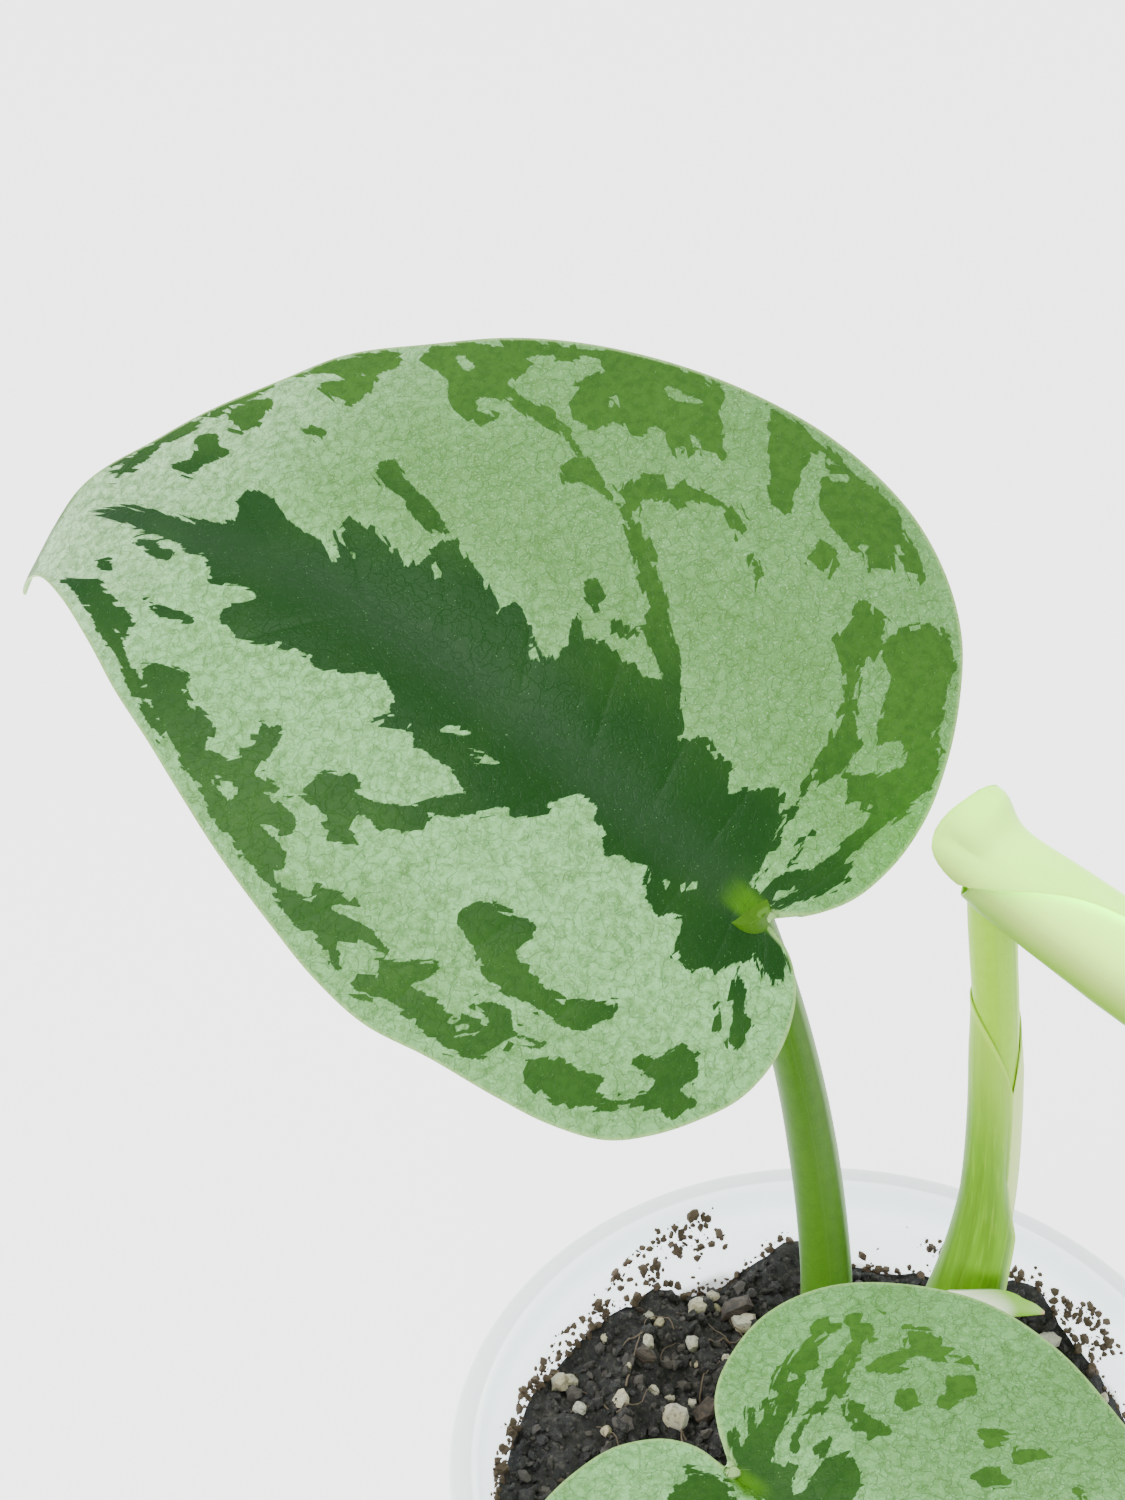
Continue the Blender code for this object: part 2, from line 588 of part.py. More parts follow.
def along_new_stalk(share):
    """Places on the new stalk's path at shares of its length."""
    path = smooth_curve(np.array(NEW_STALK_PATH) * MM, FINE_STEPS)
    shares = np.linspace(0, 1, FINE_STEPS)
    return np.stack([np.interp(share, shares, path[:, axis]) for axis in range(3)], axis=-1)


def sheath_radius(share):
    return np.interp(share, np.linspace(*SHEATH_SPAN, len(SHEATH_RADII)), SHEATH_RADII) * MM


def sheath_surface():
    """Rows go up the stalk, and columns go round it from the inner margin to the outer."""
    up = np.linspace(0, 1, SHEATH_ROWS + 1)[:, None]
    across = np.linspace(-1, 1, SHEATH_COLUMNS + 1)[None, :]
    top = SHEATH_SPAN[1] - SHEATH_MOUTH * np.abs(across) ** 3
    share = SHEATH_SPAN[0] + (top - SHEATH_SPAN[0]) * up
    overlap = np.interp(across, SHEATH_OVERLAP_ACROSS, (0, 1)) * np.interp(up, SHEATH_OVERLAP_UP, (1, 0))
    radii = sheath_radius(share) + SHEATH_OVERLAP * overlap
    wrap = np.interp(share, SHEATH_SPAN, SHEATH_WRAP)
    turn = np.radians(SHEATH_OPENING + 180 + 0.5 * wrap * across)
    ring = np.stack([np.cos(turn), np.sin(turn), np.zeros_like(turn)], axis=-1)
    return along_new_stalk(share) + radii[..., None] * ring


def build_sheath(material):
    half = SHEATH_THICKNESS / 2
    sheath = thick_sheet("new_leaf_sheath", sheath_surface(), -half, half, material)
    cut(sheath, stem_shape("stem_cutter", GAP, None))


def bract_surface():
    """A boat-shaped scale: rows go along it to its point, and columns go across it."""
    path = smooth_curve(np.array(BRACT_PATH) * MM, BRACT_ROWS + 1)
    tangents = rows_of_units(np.gradient(path, axis=0))
    side = rows_of_units(np.cross(tangents, BRACT_UNDERSIDE))
    below = np.cross(side, tangents)
    below *= np.sign(below @ np.array(BRACT_UNDERSIDE))[:, None]
    bend = np.radians(np.linspace(-BRACT_BEND, BRACT_BEND, 2 * BRACT_COLUMNS + 1))[None, :, None]
    widths = spread(BRACT_HALF_WIDTHS, BRACT_ROWS + 1)[:, None, None]
    across = np.sin(bend) * side[:, None, :]
    return path[:, None, :] + widths * (across + (np.cos(bend) - 1) * below[:, None, :])


def build_bract(material):
    half = BRACT_THICKNESS / 2
    bract = thick_sheet("bract", bract_surface(), -half, half, material)
    share = np.linspace(0, SHEATH_SPAN[1] - SHEATH_MOUTH, STALK_STEPS)
    radii = sheath_radius(share) + SHEATH_OVERLAP + SHEATH_THICKNESS / 2 + GAP + FACE_SLACK
    around = tube("sheath_cutter", along_new_stalk(share), radii, CUTTER_SIDES, None)
    cut(bract, around, stem_shape("stem_cutter", GAP, None))


def main():
    clear_scene()
    green = make_material("stalk_green", (0.22, 0.42, 0.08), 0.45)
    pale = make_material("young_green", (0.52, 0.66, 0.28), 0.45)
    satin = make_material("satin_leaf", (0.36, 0.55, 0.33), 0.55)
    plastic = make_material("milky_plastic", (0.82, 0.86, 0.88), 0.35)
    mix = make_material("potting_mix", (0.035, 0.027, 0.022), 0.95)

    build_pot(plastic)
    build_soil(mix)
    stem_shape("stem", 0, green)

    large = blade_surface(LARGE_RIGHT_EDGE, LARGE_LEFT_EDGE, LARGE_TIP, LARGE_POSE)
    build_blade("large_leaf", large, satin)
    large_stalk = stalk("large_leaf_stalk", LARGE_STALK_PATH, LARGE_STALK_RADII, green)
    cut(large_stalk, blade_cutter(LARGE_POSE), stem_shape("stem_cutter", GAP, None))

    small = blade_surface(SMALL_RIGHT_EDGE, SMALL_LEFT_EDGE, SMALL_TIP, SMALL_POSE)
    build_blade("small_leaf", small, satin)
    small_stalk = stalk("small_leaf_stalk", SMALL_STALK_PATH, SMALL_STALK_RADII, green)
    cut(small_stalk, blade_cutter(SMALL_POSE), stem_shape("stem_cutter", GAP, None))

    build_new_stalk(pale)
    build_sheath(green)
    build_bract(pale)
    build_rolled_leaf(pale)


main()
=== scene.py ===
"""Looks of a young satin pothos in a translucent nursery pot, dressed round its packed frame.

The frame's own axes are used: the origin is the centre of the pot's underside, +Z is up, and the view is from -Y.
Lengths are in metres. Lists of places in millimetres are multiplied by MM, and the outlines of the leaf markings
are pixels of the photograph's 1125 x 1500 frame, which photo_pixels() matches to places on the blades.
"""

import json
import math
import random
from types import SimpleNamespace

import bmesh
import bpy
import numpy as np
from bpy.props import FloatProperty, FloatVectorProperty, IntProperty, PointerProperty
from mathutils import Euler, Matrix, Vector, noise

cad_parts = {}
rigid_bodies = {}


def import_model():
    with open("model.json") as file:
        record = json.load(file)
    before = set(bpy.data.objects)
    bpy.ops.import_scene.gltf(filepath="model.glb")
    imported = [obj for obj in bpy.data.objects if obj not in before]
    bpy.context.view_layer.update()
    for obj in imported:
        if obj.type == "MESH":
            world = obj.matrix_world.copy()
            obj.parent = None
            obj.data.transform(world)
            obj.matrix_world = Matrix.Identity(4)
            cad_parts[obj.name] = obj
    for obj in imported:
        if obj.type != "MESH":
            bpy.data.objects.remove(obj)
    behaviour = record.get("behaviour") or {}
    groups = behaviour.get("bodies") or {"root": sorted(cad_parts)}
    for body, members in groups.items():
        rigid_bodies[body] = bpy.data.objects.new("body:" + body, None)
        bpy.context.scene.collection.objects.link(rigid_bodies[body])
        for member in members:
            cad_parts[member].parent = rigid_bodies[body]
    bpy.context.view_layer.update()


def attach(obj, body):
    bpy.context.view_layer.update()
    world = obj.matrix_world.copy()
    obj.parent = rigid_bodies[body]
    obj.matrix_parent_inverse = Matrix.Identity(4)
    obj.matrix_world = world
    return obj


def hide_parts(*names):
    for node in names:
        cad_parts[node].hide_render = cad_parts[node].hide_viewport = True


bl_info = {
    "name": "Satin Pothos",
    "version": (1, 0, 0),
    "blender": (4, 5, 0),
    "location": "3D View > Sidebar > Pothos",
    "description": "Dresses a packed satin pothos with leaves, stalks, potting mix and a milky pot",
    "category": "Add Mesh",
}

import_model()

MM = 0.001
PHOTO_SIZE = (1125, 1500)

# Vine and stalks: places on their paths in millimetres, then radii along them
VINE_PATH = [(4, 11, 34), (4, 11, 50), (5, 11, 64), (8, 11, 77), (12, 11, 88)]
VINE_SCARS = (0.42, 0.62, 0.82)  # shares of the vine's length
LARGE_STALK_PATH = [(3.4, 11.6, 69), (0.6, 11.6, 75), (-1.4, 12, 86), (-2.4, 12, 98), (-4.6, 12, 115),
                    (-7.4, 12, 130), (-10.4, 12, 142), (-12.7, 12, 149.6), (-13.3, 11.9, 151.6)]
LARGE_STALK_RADII = [3.3, 3.1, 2.95, 2.8, 2.7, 2.5, 2.35, 2.25]
SMALL_STALK_PATH = [(5.9, 7.7, 68.2), (3.7, 0.9, 73.6), (-1.5, -9, 85), (-7.5, -19, 97), (-12, -26, 107),
                    (-14, -28.8, 111.6)]
SMALL_STALK_RADII = [3.0, 2.6, 2.35, 2.2, 2.1, 2.0]
NEW_STALK_PATH = [(12.7, 11, 89), (14, 11, 98), (14.8, 11, 108), (14.5, 11.2, 122), (13.3, 11.5, 136),
                  (12.1, 11.8, 146), (11.4, 12, 152), (11.1, 12, 156)]
NEW_STALK_RADII = [2.3, 2.2, 2.15, 2.15, 2.2, 2.4, 2.5, 2.5]
STALK_CHANNEL = 0.25  # how much shallower a stalk is on its channelled side
LINES_ALONG = 8  # how far the fine lines are drawn out along a stalk

# Sheath and bract at the foot of the new leaf's stalk
SHEATH_SPAN = (0.03, 0.76)  # from its foot to the top of its mouth, as shares of the stalk's length
SHEATH_MOUTH = 0.19  # how far the mouth dips at the front, in the same shares
SHEATH_RADII = [4.1, 3.5, 3.05, 2.9, 2.8, 2.8]
SHEATH_OPENING = -52  # degrees from +X to the way that the mouth faces
SHEATH_WRAP = (384, 352)  # degrees round the stalk, at its foot and at its mouth
SHEATH_OVERLAP = 0.95 * MM
SHEATH_CLEARANCE = 0.18 * MM  # from the stalk, where the sheath hugs it
SHEATH_THICKNESS = 0.55 * MM
SHEATH_STEPS = (90, 120)  # up it and round it
BRACT_PATH = [(9.5, 8.5, 90), (12.5, 6, 94.4), (16, 4.9, 97), (19, 5.4, 96.6), (21.8, 6.8, 95.2)]
BRACT_HALF_WIDTHS = [4.8, 5.5, 4.7, 1.9, 0.0]
BRACT_UNDERSIDE = (0.3, -0.8, -0.5)
BRACT_BEND = 75  # degrees from its keel to each margin
BRACT_THICKNESS = 0.5 * MM
BRACT_STEPS = (60, 24)  # along it, and from its keel to each margin

# Blades: how their steps are spread out, and their ribs, veins and margins
ROW_FAN = 1.45  # above 1, rows crowd at the notch
COLUMN_FAN = 0.9  # below 1, columns crowd at the margins
MIDRIB_SWING = 4.2  # the higher, the later the midrib turns to a tip that lies off to one side
HOOK_REACH = 9 * MM  # how far to the sides of the tip the hook reaches
VEIN_SPACING = 9.5 * MM  # between side veins, measured along the midrib
VEIN_SWEEP = 0.16  # how far a side vein runs towards the tip on its way out
RIB_HEIGHT = 0.9 * MM
RIB_WIDTH = 1.1 * MM
MARGIN_TAPER = 2.5 * MM  # from the margin in to where a blade has its full thickness

# Painted shade on each open leaf: its shaded side, how far its silver is painted darker green there, and how fresh
# its green is
LARGE_SHADING = (1, 0.64, 0.0)
SMALL_SHADING = (-1, 0.45, 0.35)

# Blades: edges from the notch to the tip in millimetres, with x along the midrib and y to its right
LARGE_RIGHT_EDGE = [(-0.8, 0.6), (-2.4, 1.4), (-4.4, 2.9), (-7.2, 7.2), (-8.2, 12.6), (-7.7, 18.8), (-5.5, 25.5),
                    (-2.1, 32), (1.8, 37.3), (7.6, 41.9), (14, 44.8), (20.6, 46.1), (28, 46.3), (36, 45.2),
                    (44.5, 43), (53, 39.8), (62, 34.9), (70.5, 28.5), (78, 22.1), (82, 16), (86.4, 10),
                    (90.4, 3.6), (93.9, -2), (95.6, -7.5), (96.4, -12), (98.4, -16)]
LARGE_LEFT_EDGE = [(-3, -0.2), (-6.3, -0.9), (-9, -3.2), (-10.7, -6), (-12.1, -11), (-11.9, -15.3),
                   (-10.1, -19.8), (-7.8, -23.7), (-4.9, -27), (0.9, -29.9), (6.4, -31.3), (14.3, -32.8),
                   (21.7, -34.5), (28.5, -34.3), (36.4, -32.9), (45.6, -30.8), (53.7, -28.4), (61, -26.1),
                   (68.6, -23.9), (76.5, -21.1), (84, -18.9), (92, -17.8)]
LARGE_TIP = (101, -19)
LARGE_POSE = {
    "place": (-13.2, 12, 151.6),
    "along": (-0.751, 0.496, 0.437),
    "face": (0.082, -0.587, 0.806),
    "bend_length": 92 * MM,
    "arch": 40,
    "hook": 20,
    "tip_side": -19 * MM,
    "right_curl": 3.0,
    "left_curl": 6.0,
    "groove": 0.8 * MM,
}
SMALL_RIGHT_EDGE = [(-1.6, -0.2), (-4.3, -0.1), (-6.5, 0), (-9.6, 1.3), (-12.1, 4.6), (-13.4, 10.3),
                    (-13.2, 16), (-10.5, 22.5), (-4, 28.5), (6, 33), (18, 34.3), (32, 32), (48, 25.5), (62, 17),
                    (74, 7.5)]
SMALL_LEFT_EDGE = [(-1.7, -0.7), (-5.1, -2.3), (-8.8, -5), (-11.6, -10.8), (-12.3, -15.1), (-10.1, -23.2),
                   (-5.2, -28.6), (2.2, -32.6), (11.4, -33.2), (23.2, -30.6), (37, -26), (52, -19.5),
                   (66, -12.5), (76, -6.5)]
SMALL_TIP = (83, -1)
SMALL_POSE = {
    "place": (-14.2, -29, 112),
    "along": (0.66, -0.74, 0.10),
    "face": (-0.196, -0.042, 0.98),
    "bend_length": 80 * MM,
    "arch": 34,
    "hook": 20,
    "tip_side": -1 * MM,
    "right_curl": 4.0,
    "left_curl": 6.0,
    "groove": 1.2 * MM,
}

# New leaf, rolled up round its left edge
ROLLED_RIGHT_EDGE = [(-0.6, 1), (-1.4, 3.5), (-2.3, 7.5), (-3.6, 11.7), (-5.5, 14.8), (-6.7, 17.8), (-6, 20.6),
                     (-3, 22.6), (1, 22.9), (5, 21.4), (10, 19.9), (20, 19.2), (34, 18.8), (48, 17), (61, 13),
                     (72, 6.5)]
ROLLED_LEFT_EDGE = [(-0.6, -1), (-0.4, -4), (-0.4, -8), (-0.8, -13), (-1.6, -19), (1, -26), (8, -30),
                    (20, -31), (34, -28.5), (48, -22.5), (61, -14.5), (72, -7)]
ROLLED_INNER_EDGE = ROLLED_LEFT_EDGE[4:]
ROLLED_TIP = (83, 0)
ROLL_PITCH = 1.05 * MM  # from one turn to the next
ROLL_PLACE = (10.7, 12, 157.3)
ROLL_ALONG = (0.83, -0.45, -0.395)
ROLL_MIDRIB_SIDE = (-0.462, -0.385, -0.797)
ROLL_ARCH = 8
ROLL_CORE = [(-7, 2.8), (0, 3.0), (16, 3.7), (40, 3.4), (62, 2.0), (84, 0.8)]  # (x, innermost radius)
ROLL_FLARE = 2.6 * MM
ROLL_FLARE_TURN = 170  # degrees round from the midrib
ROLL_FLARE_END = -3.5 * MM
ROLL_FLARE_LENGTH = 2.8 * MM

# Dark green markings of the large leaf, as outlines in pixels of the photograph
CENTRAL_BAND = [(92, 517), (125, 510), (155, 512), (185, 520), (213, 527), (232, 525), (240, 504), (256, 490),
                (272, 498), (287, 522), (305, 536), (325, 546), (335, 564), (346, 559), (340, 533), (351, 520),
                (377, 535), (396, 554), (404, 578), (425, 557), (441, 549), (451, 538), (430, 527), (404, 498),
                (383, 485), (375, 472), (393, 463), (404, 480), (430, 504), (454, 540), (483, 580), (499, 617),
                (517, 609), (530, 628), (538, 652), (546, 665), (570, 646), (570, 612), (580, 623), (583, 644),
                (607, 644), (623, 668), (633, 660), (645, 676), (662, 678), (660, 665), (649, 640), (641, 617),
                (650, 604), (636, 564), (628, 533), (612, 504), (586, 485), (567, 482), (562, 469), (575, 461),
                (594, 475), (622, 505), (628, 488), (644, 477), (665, 480), (662, 501), (644, 504), (634, 516),
                (652, 554), (662, 596), (670, 628), (682, 660), (684, 702), (678, 739), (692, 744), (702, 736),
                (715, 758), (726, 765), (727, 800), (729, 834), (731, 797), (744, 792), (779, 789), (781, 813),
                (790, 812), (772, 846), (762, 868), (752, 884), (766, 924), (778, 940), (787, 960), (784, 982),
                (768, 982), (755, 956), (739, 961), (718, 974), (692, 967), (676, 956), (684, 919), (660, 914),
                (644, 892), (649, 866), (607, 855), (604, 834), (594, 818), (599, 802), (580, 797), (549, 805),
                (543, 818), (517, 818), (501, 808), (480, 813), (462, 813), (425, 810), (425, 801), (470, 795),
                (451, 771), (420, 750), (420, 728), (367, 723), (396, 718), (393, 697), (380, 676), (325, 668),
                (293, 646), (261, 644), (235, 639), (224, 623), (229, 607), (258, 604), (261, 591), (213, 583),
                (208, 575), (211, 559), (182, 546), (139, 527)]
LARGE_DARK = [
    CENTRAL_BAND,
    [(776, 908), (760, 903), (776, 882), (808, 872), (840, 853), (858, 832), (871, 808), (845, 800), (845, 776),
     (877, 776), (903, 766), (911, 750), (903, 734), (877, 742), (882, 707), (890, 681), (877, 660), (885, 638),
     (903, 631), (930, 625), (951, 644), (953, 670), (946, 707), (930, 734), (943, 755), (930, 792), (903, 813),
     (871, 834), (850, 855), (845, 871), (850, 882), (819, 895)],
    [(784, 824), (797, 802), (829, 744), (848, 702), (836, 640), (861, 604), (885, 625), (882, 649), (860, 655),
     (853, 702), (861, 744), (840, 771), (808, 789)],
    [(787, 866), (806, 829), (812, 834), (797, 861)],
    [(112, 484), (118, 474), (145, 449), (203, 415), (207, 421), (166, 445), (129, 472)],
    [(213, 411), (232, 399), (258, 387), (276, 381), (274, 387), (250, 395), (228, 407), (216, 416)],
    [(108, 462), (125, 452), (150, 438), (152, 443), (128, 458), (112, 468)],
    [(138, 541), (152, 540), (171, 553), (168, 559), (150, 552)],
    [(297, 427), (312, 427), (326, 434), (318, 439), (303, 434)],
    [(97, 559), (110, 560), (112, 571), (100, 568)],
    [(232, 406), (269, 403), (266, 419), (243, 430), (232, 427)],
    [(174, 469), (198, 459), (198, 440), (216, 438), (219, 451), (229, 453), (206, 464), (192, 474)],
    [(284, 378), (332, 364), (380, 354), (403, 360), (398, 368), (376, 374), (340, 374), (310, 379)],
    [(320, 383), (356, 377), (374, 380), (371, 396), (353, 408), (329, 399)],
    [(420, 361), (436, 345), (500, 346), (560, 348), (602, 350), (655, 361), (702, 379), (723, 395), (718, 406),
     (665, 387), (660, 395), (692, 408), (715, 406), (723, 427), (718, 443), (723, 459), (707, 456), (702, 438),
     (681, 424), (689, 453), (681, 461), (668, 440), (655, 430), (644, 438), (628, 427), (610, 419), (594, 432),
     (573, 424), (567, 406), (580, 387), (607, 372), (600, 362), (560, 358), (530, 362), (510, 385), (526, 400),
     (550, 412), (567, 428), (590, 462), (612, 502), (606, 504), (584, 470), (560, 436), (536, 424), (510, 401),
     (473, 395), (473, 408), (499, 416), (483, 427), (462, 416), (451, 398), (451, 379)],
    [(768, 406), (797, 424), (824, 448), (856, 480), (866, 492), (819, 459), (808, 453), (797, 485), (789, 514),
     (776, 504), (768, 469), (771, 438)],
    [(816, 496), (824, 480), (845, 480), (871, 485), (898, 512), (899, 530), (914, 554), (924, 586), (916, 586),
     (898, 543), (887, 549), (890, 570), (871, 570), (866, 549), (845, 546), (824, 522), (816, 509)],
    [(805, 559), (819, 541), (840, 554), (826, 575), (819, 572)],
    [(673, 493), (684, 483), (715, 496), (734, 506), (751, 533), (739, 538), (723, 512), (697, 504), (678, 506)],
    [(751, 559), (759, 564), (765, 601), (757, 596)],
    [(583, 588), (594, 582), (602, 596), (596, 610), (588, 600)],
    [(615, 625), (630, 620), (636, 635), (625, 640), (617, 635)],
    [(65, 578), (92, 580), (110, 596), (133, 623), (126, 639), (116, 630), (139, 681), (166, 734), (172, 755),
     (150, 720), (120, 665), (95, 615), (75, 590)],
    [(145, 662), (187, 677), (179, 682), (192, 707), (213, 723), (208, 750), (250, 771), (293, 797), (261, 792),
     (293, 821), (287, 834), (261, 824), (287, 855), (282, 871), (272, 866), (277, 890), (245, 861), (219, 824),
     (203, 792), (184, 765), (166, 734), (147, 697)],
    [(261, 718), (280, 731), (258, 771), (240, 766), (240, 750), (253, 744)],
    [(298, 792), (319, 771), (356, 779), (356, 795), (377, 803), (425, 808), (425, 826), (388, 832), (362, 813),
     (346, 829), (364, 840), (330, 840), (325, 818)],
    [(147, 602), (166, 607), (192, 623), (171, 620)],
    [(139, 543), (152, 546), (166, 555), (154, 553)],
    [(272, 892), (314, 903), (319, 887), (340, 890), (356, 906), (335, 908), (377, 930), (388, 953), (356, 940),
     (338, 943), (346, 977), (377, 977), (377, 961), (420, 961), (441, 961), (438, 972), (420, 982), (404, 982),
     (451, 1014), (478, 1025), (520, 1033), (499, 1051), (478, 1059), (441, 1046), (425, 1025), (388, 1004),
     (356, 993), (330, 967), (325, 945), (298, 924)],
    [(454, 917), (480, 903), (506, 911), (533, 924), (533, 940), (512, 948), (517, 964), (543, 977), (538, 988),
     (565, 1004), (615, 1004), (615, 1014), (586, 1025), (575, 1030), (538, 1009), (512, 993), (500, 985),
     (485, 972), (475, 945)],
    [(473, 1003), (485, 998), (510, 1012), (513, 1028), (545, 1042), (542, 1050), (515, 1040), (495, 1052),
     (480, 1062), (462, 1045), (490, 1030), (488, 1015)],
    [(528, 1062), (559, 1057), (575, 1076), (602, 1078), (596, 1094), (623, 1099), (655, 1094), (660, 1078),
     (628, 1062), (639, 1057), (660, 1057), (676, 1046), (697, 1057), (700, 1075), (681, 1089), (692, 1104),
     (670, 1118), (660, 1104), (618, 1107), (580, 1107), (549, 1102), (528, 1083)],
    [(739, 967), (744, 988), (742, 1014), (752, 1020), (744, 1041), (734, 1051), (726, 1041), (734, 1014),
     (734, 988)],
    [(714, 1006), (721, 1000), (723, 1012), (717, 1028)],
]
LARGE_LIGHT = [
    [(462, 752), (480, 754), (499, 765), (475, 762)],
    [(430, 729), (470, 731), (470, 736), (435, 733)],
    [(665, 882), (697, 882), (697, 891), (668, 891)],
    [(454, 358), (483, 358), (480, 371), (466, 374)],
    [(599, 398), (617, 400), (619, 414), (606, 412)],
    [(816, 452), (838, 460), (847, 474), (824, 470)],
    [(211, 771), (240, 781), (237, 813), (219, 792)],
    [(449, 1022), (475, 1017), (478, 1033), (455, 1040)],
    [(760, 900), (790, 888), (797, 890), (768, 901)],
    [(348, 552), (356, 548), (358, 560), (352, 566)],
    [(433, 566), (440, 562), (442, 576), (436, 580)],
    [(522, 634), (530, 640), (538, 656), (534, 660)],
]

# Dark green markings of the small leaf. The ones below pixel row 1500 are out of the photograph and guessed.
SMALL_DARK = [
    [(884, 1316), (869, 1319), (847, 1323), (826, 1333), (815, 1344), (815, 1362), (804, 1374), (801, 1396),
     (788, 1424), (776, 1436), (776, 1464), (795, 1470), (795, 1500), (776, 1512), (745, 1485), (733, 1458),
     (730, 1436), (736, 1433), (742, 1446), (748, 1442), (747, 1408), (754, 1408), (756, 1427), (767, 1415),
     (767, 1396), (776, 1374), (792, 1356), (804, 1340), (819, 1326), (822, 1316), (832, 1316), (832, 1322),
     (856, 1316)],
    [(878, 1323), (877, 1334), (863, 1342), (860, 1353), (850, 1362), (847, 1378), (841, 1393), (829, 1408),
     (813, 1418), (804, 1433), (798, 1455), (792, 1452), (790, 1439), (801, 1424), (815, 1410), (822, 1403),
     (826, 1381), (838, 1359), (843, 1348), (853, 1342), (850, 1331), (866, 1323)],
    [(870, 1371), (887, 1359), (909, 1350), (906, 1340), (906, 1330), (925, 1331), (938, 1340), (928, 1353),
     (962, 1354), (974, 1367), (962, 1362), (937, 1359), (918, 1356), (900, 1358), (912, 1364), (894, 1370)],
    [(945, 1379), (955, 1373), (976, 1373), (980, 1384), (979, 1398), (962, 1402), (949, 1408), (942, 1405),
     (946, 1393)],
    [(900, 1396), (912, 1393), (920, 1402), (903, 1410), (899, 1405)],
    [(847, 1405), (860, 1399), (864, 1412), (875, 1421), (887, 1427), (889, 1435), (872, 1439), (869, 1430),
     (857, 1429), (860, 1419), (850, 1421)],
    [(813, 1452), (822, 1442), (829, 1442), (826, 1452), (818, 1458)],
    [(809, 1483), (829, 1464), (853, 1458), (863, 1473), (861, 1489), (850, 1505), (880, 1530), (850, 1560),
     (900, 1600), (980, 1680), (1060, 1780), (1010, 1740), (940, 1690), (860, 1640), (800, 1570), (770, 1520),
     (790, 1505)],
    [(974, 1433), (996, 1433), (1016, 1439), (1011, 1444), (990, 1449), (980, 1442)],
    [(1014, 1449), (1036, 1447), (1054, 1459), (1039, 1461), (1024, 1464), (1011, 1477), (1011, 1486),
     (983, 1489), (974, 1480), (986, 1473), (1008, 1473), (1013, 1464)],
    [(671, 1500), (674, 1486), (686, 1483), (689, 1470), (708, 1473), (728, 1486), (735, 1510), (700, 1540),
     (672, 1525)],
    [(1076, 1493), (1086, 1496), (1094, 1506), (1082, 1503)],
    [(960, 1530), (1010, 1545), (1030, 1590), (985, 1575), (950, 1550)],
    [(1120, 1580), (1165, 1640), (1150, 1700), (1120, 1650)],
    [(640, 1600), (690, 1640), (730, 1720), (680, 1700), (630, 1650)],
    [(760, 1660), (820, 1720), (900, 1770), (850, 1790), (780, 1740)],
    [(1075, 1800), (1120, 1830), (1180, 1890), (1230, 1950), (1200, 1950), (1130, 1890), (1080, 1830)],
    [(720, 1800), (760, 1815), (800, 1870), (850, 1925), (825, 1935), (770, 1890), (725, 1840)],
    [(890, 1930), (940, 1920), (1000, 1960), (1040, 2010), (1000, 2020), (930, 1980)],
    [(1190, 1740), (1225, 1760), (1245, 1830), (1235, 1880), (1205, 1840), (1185, 1780)],
    [(1240, 1900), (1275, 1930), (1290, 1990), (1262, 1975)],
    [(1110, 1690), (1145, 1715), (1155, 1775), (1120, 1750)],
    [(830, 1800), (880, 1810), (930, 1870), (960, 1905), (900, 1880), (850, 1840)],
]
SMALL_LIGHT = [
    [(768, 1393), (777, 1395), (774, 1415), (768, 1410)],
    [(790, 1374), (799, 1378), (796, 1386), (790, 1384)],
    [(771, 1437), (775, 1437), (774, 1463), (770, 1463)],
]

# Pale grains that the photograph shows in the mix: pixel column, pixel row, radius in millimetres
SHOWN_GRAINS = [(699, 1298, 1.7), (744, 1316, 1.7), (659, 1318, 0.9), (648, 1344, 1.0), (693, 1338, 1.1),
                (628, 1369, 0.6), (654, 1387, 0.8), (671, 1387, 0.7), (621, 1405, 1.1), (675, 1415, 1.7),
                (580, 1413, 0.9), (633, 1433, 0.7), (713, 1288, 0.9), (606, 1339, 0.7), (726, 1354, 0.7),
                (1046, 1350, 1.6), (1117, 1387, 0.8), (720, 1400, 0.6), (640, 1470, 0.8), (560, 1380, 1.3)]

# Where the mix meets the wall: (degrees from +X, height in millimetres)
MIX_EDGE = [(10, 64), (25, 63.6), (32, 65), (39, 66.8), (46, 69.8), (51, 71.5), (56, 70), (62, 66), (68, 65.4),
            (74, 64.6), (82, 64.5), (88, 66), (93, 69.1), (97, 68.9), (100, 67), (104, 64.4), (108, 62.8),
            (115, 63.4), (121, 67.1), (126, 66), (134, 66.7), (146, 65.8), (154, 67), (161, 65.8), (166, 64.8),
            (174, 66.3), (200, 67), (235, 65), (270, 66.5), (310, 65), (345, 65.5)]
# Patches of crumbs that stick to the wall above it, in the same two measures
WALL_PATCHES = [(112, 75.5), (117, 74.8), (123, 73.6), (111, 71.5), (121, 70), (116, 72), (142, 69.5), (134, 69),
                (70, 70.6), (37, 73.6), (35, 71.6), (37, 69), (42, 71.6), (155, 69), (163, 68), (172, 68.5),
                (182, 69), (215, 69), (250, 68), (300, 69), (330, 67.5), (128, 71.5), (149, 68.5)]

# Potting mix: steps of its surface, heights where reaches are measured, and crumbs on the wall
MIX_RINGS = 110
MIX_SIDES = 240
MIX_SLACK = 0.3 * MM  # between the mix and the pot's wall and floor
MIX_REACH_HEIGHT = 70 * MM  # where the reach of its rings is measured
LOOSE_REACH_HEIGHT = 66 * MM  # where the reach of loose matter is measured
EDGE_CRUMBS = 900
PATCH_CRUMBS = 24  # in each patch
CRUMB_CEILING = 76.5 * MM

WALL_SLOPE = 0.136  # how much the pot's wall widens for each unit of height, rounded

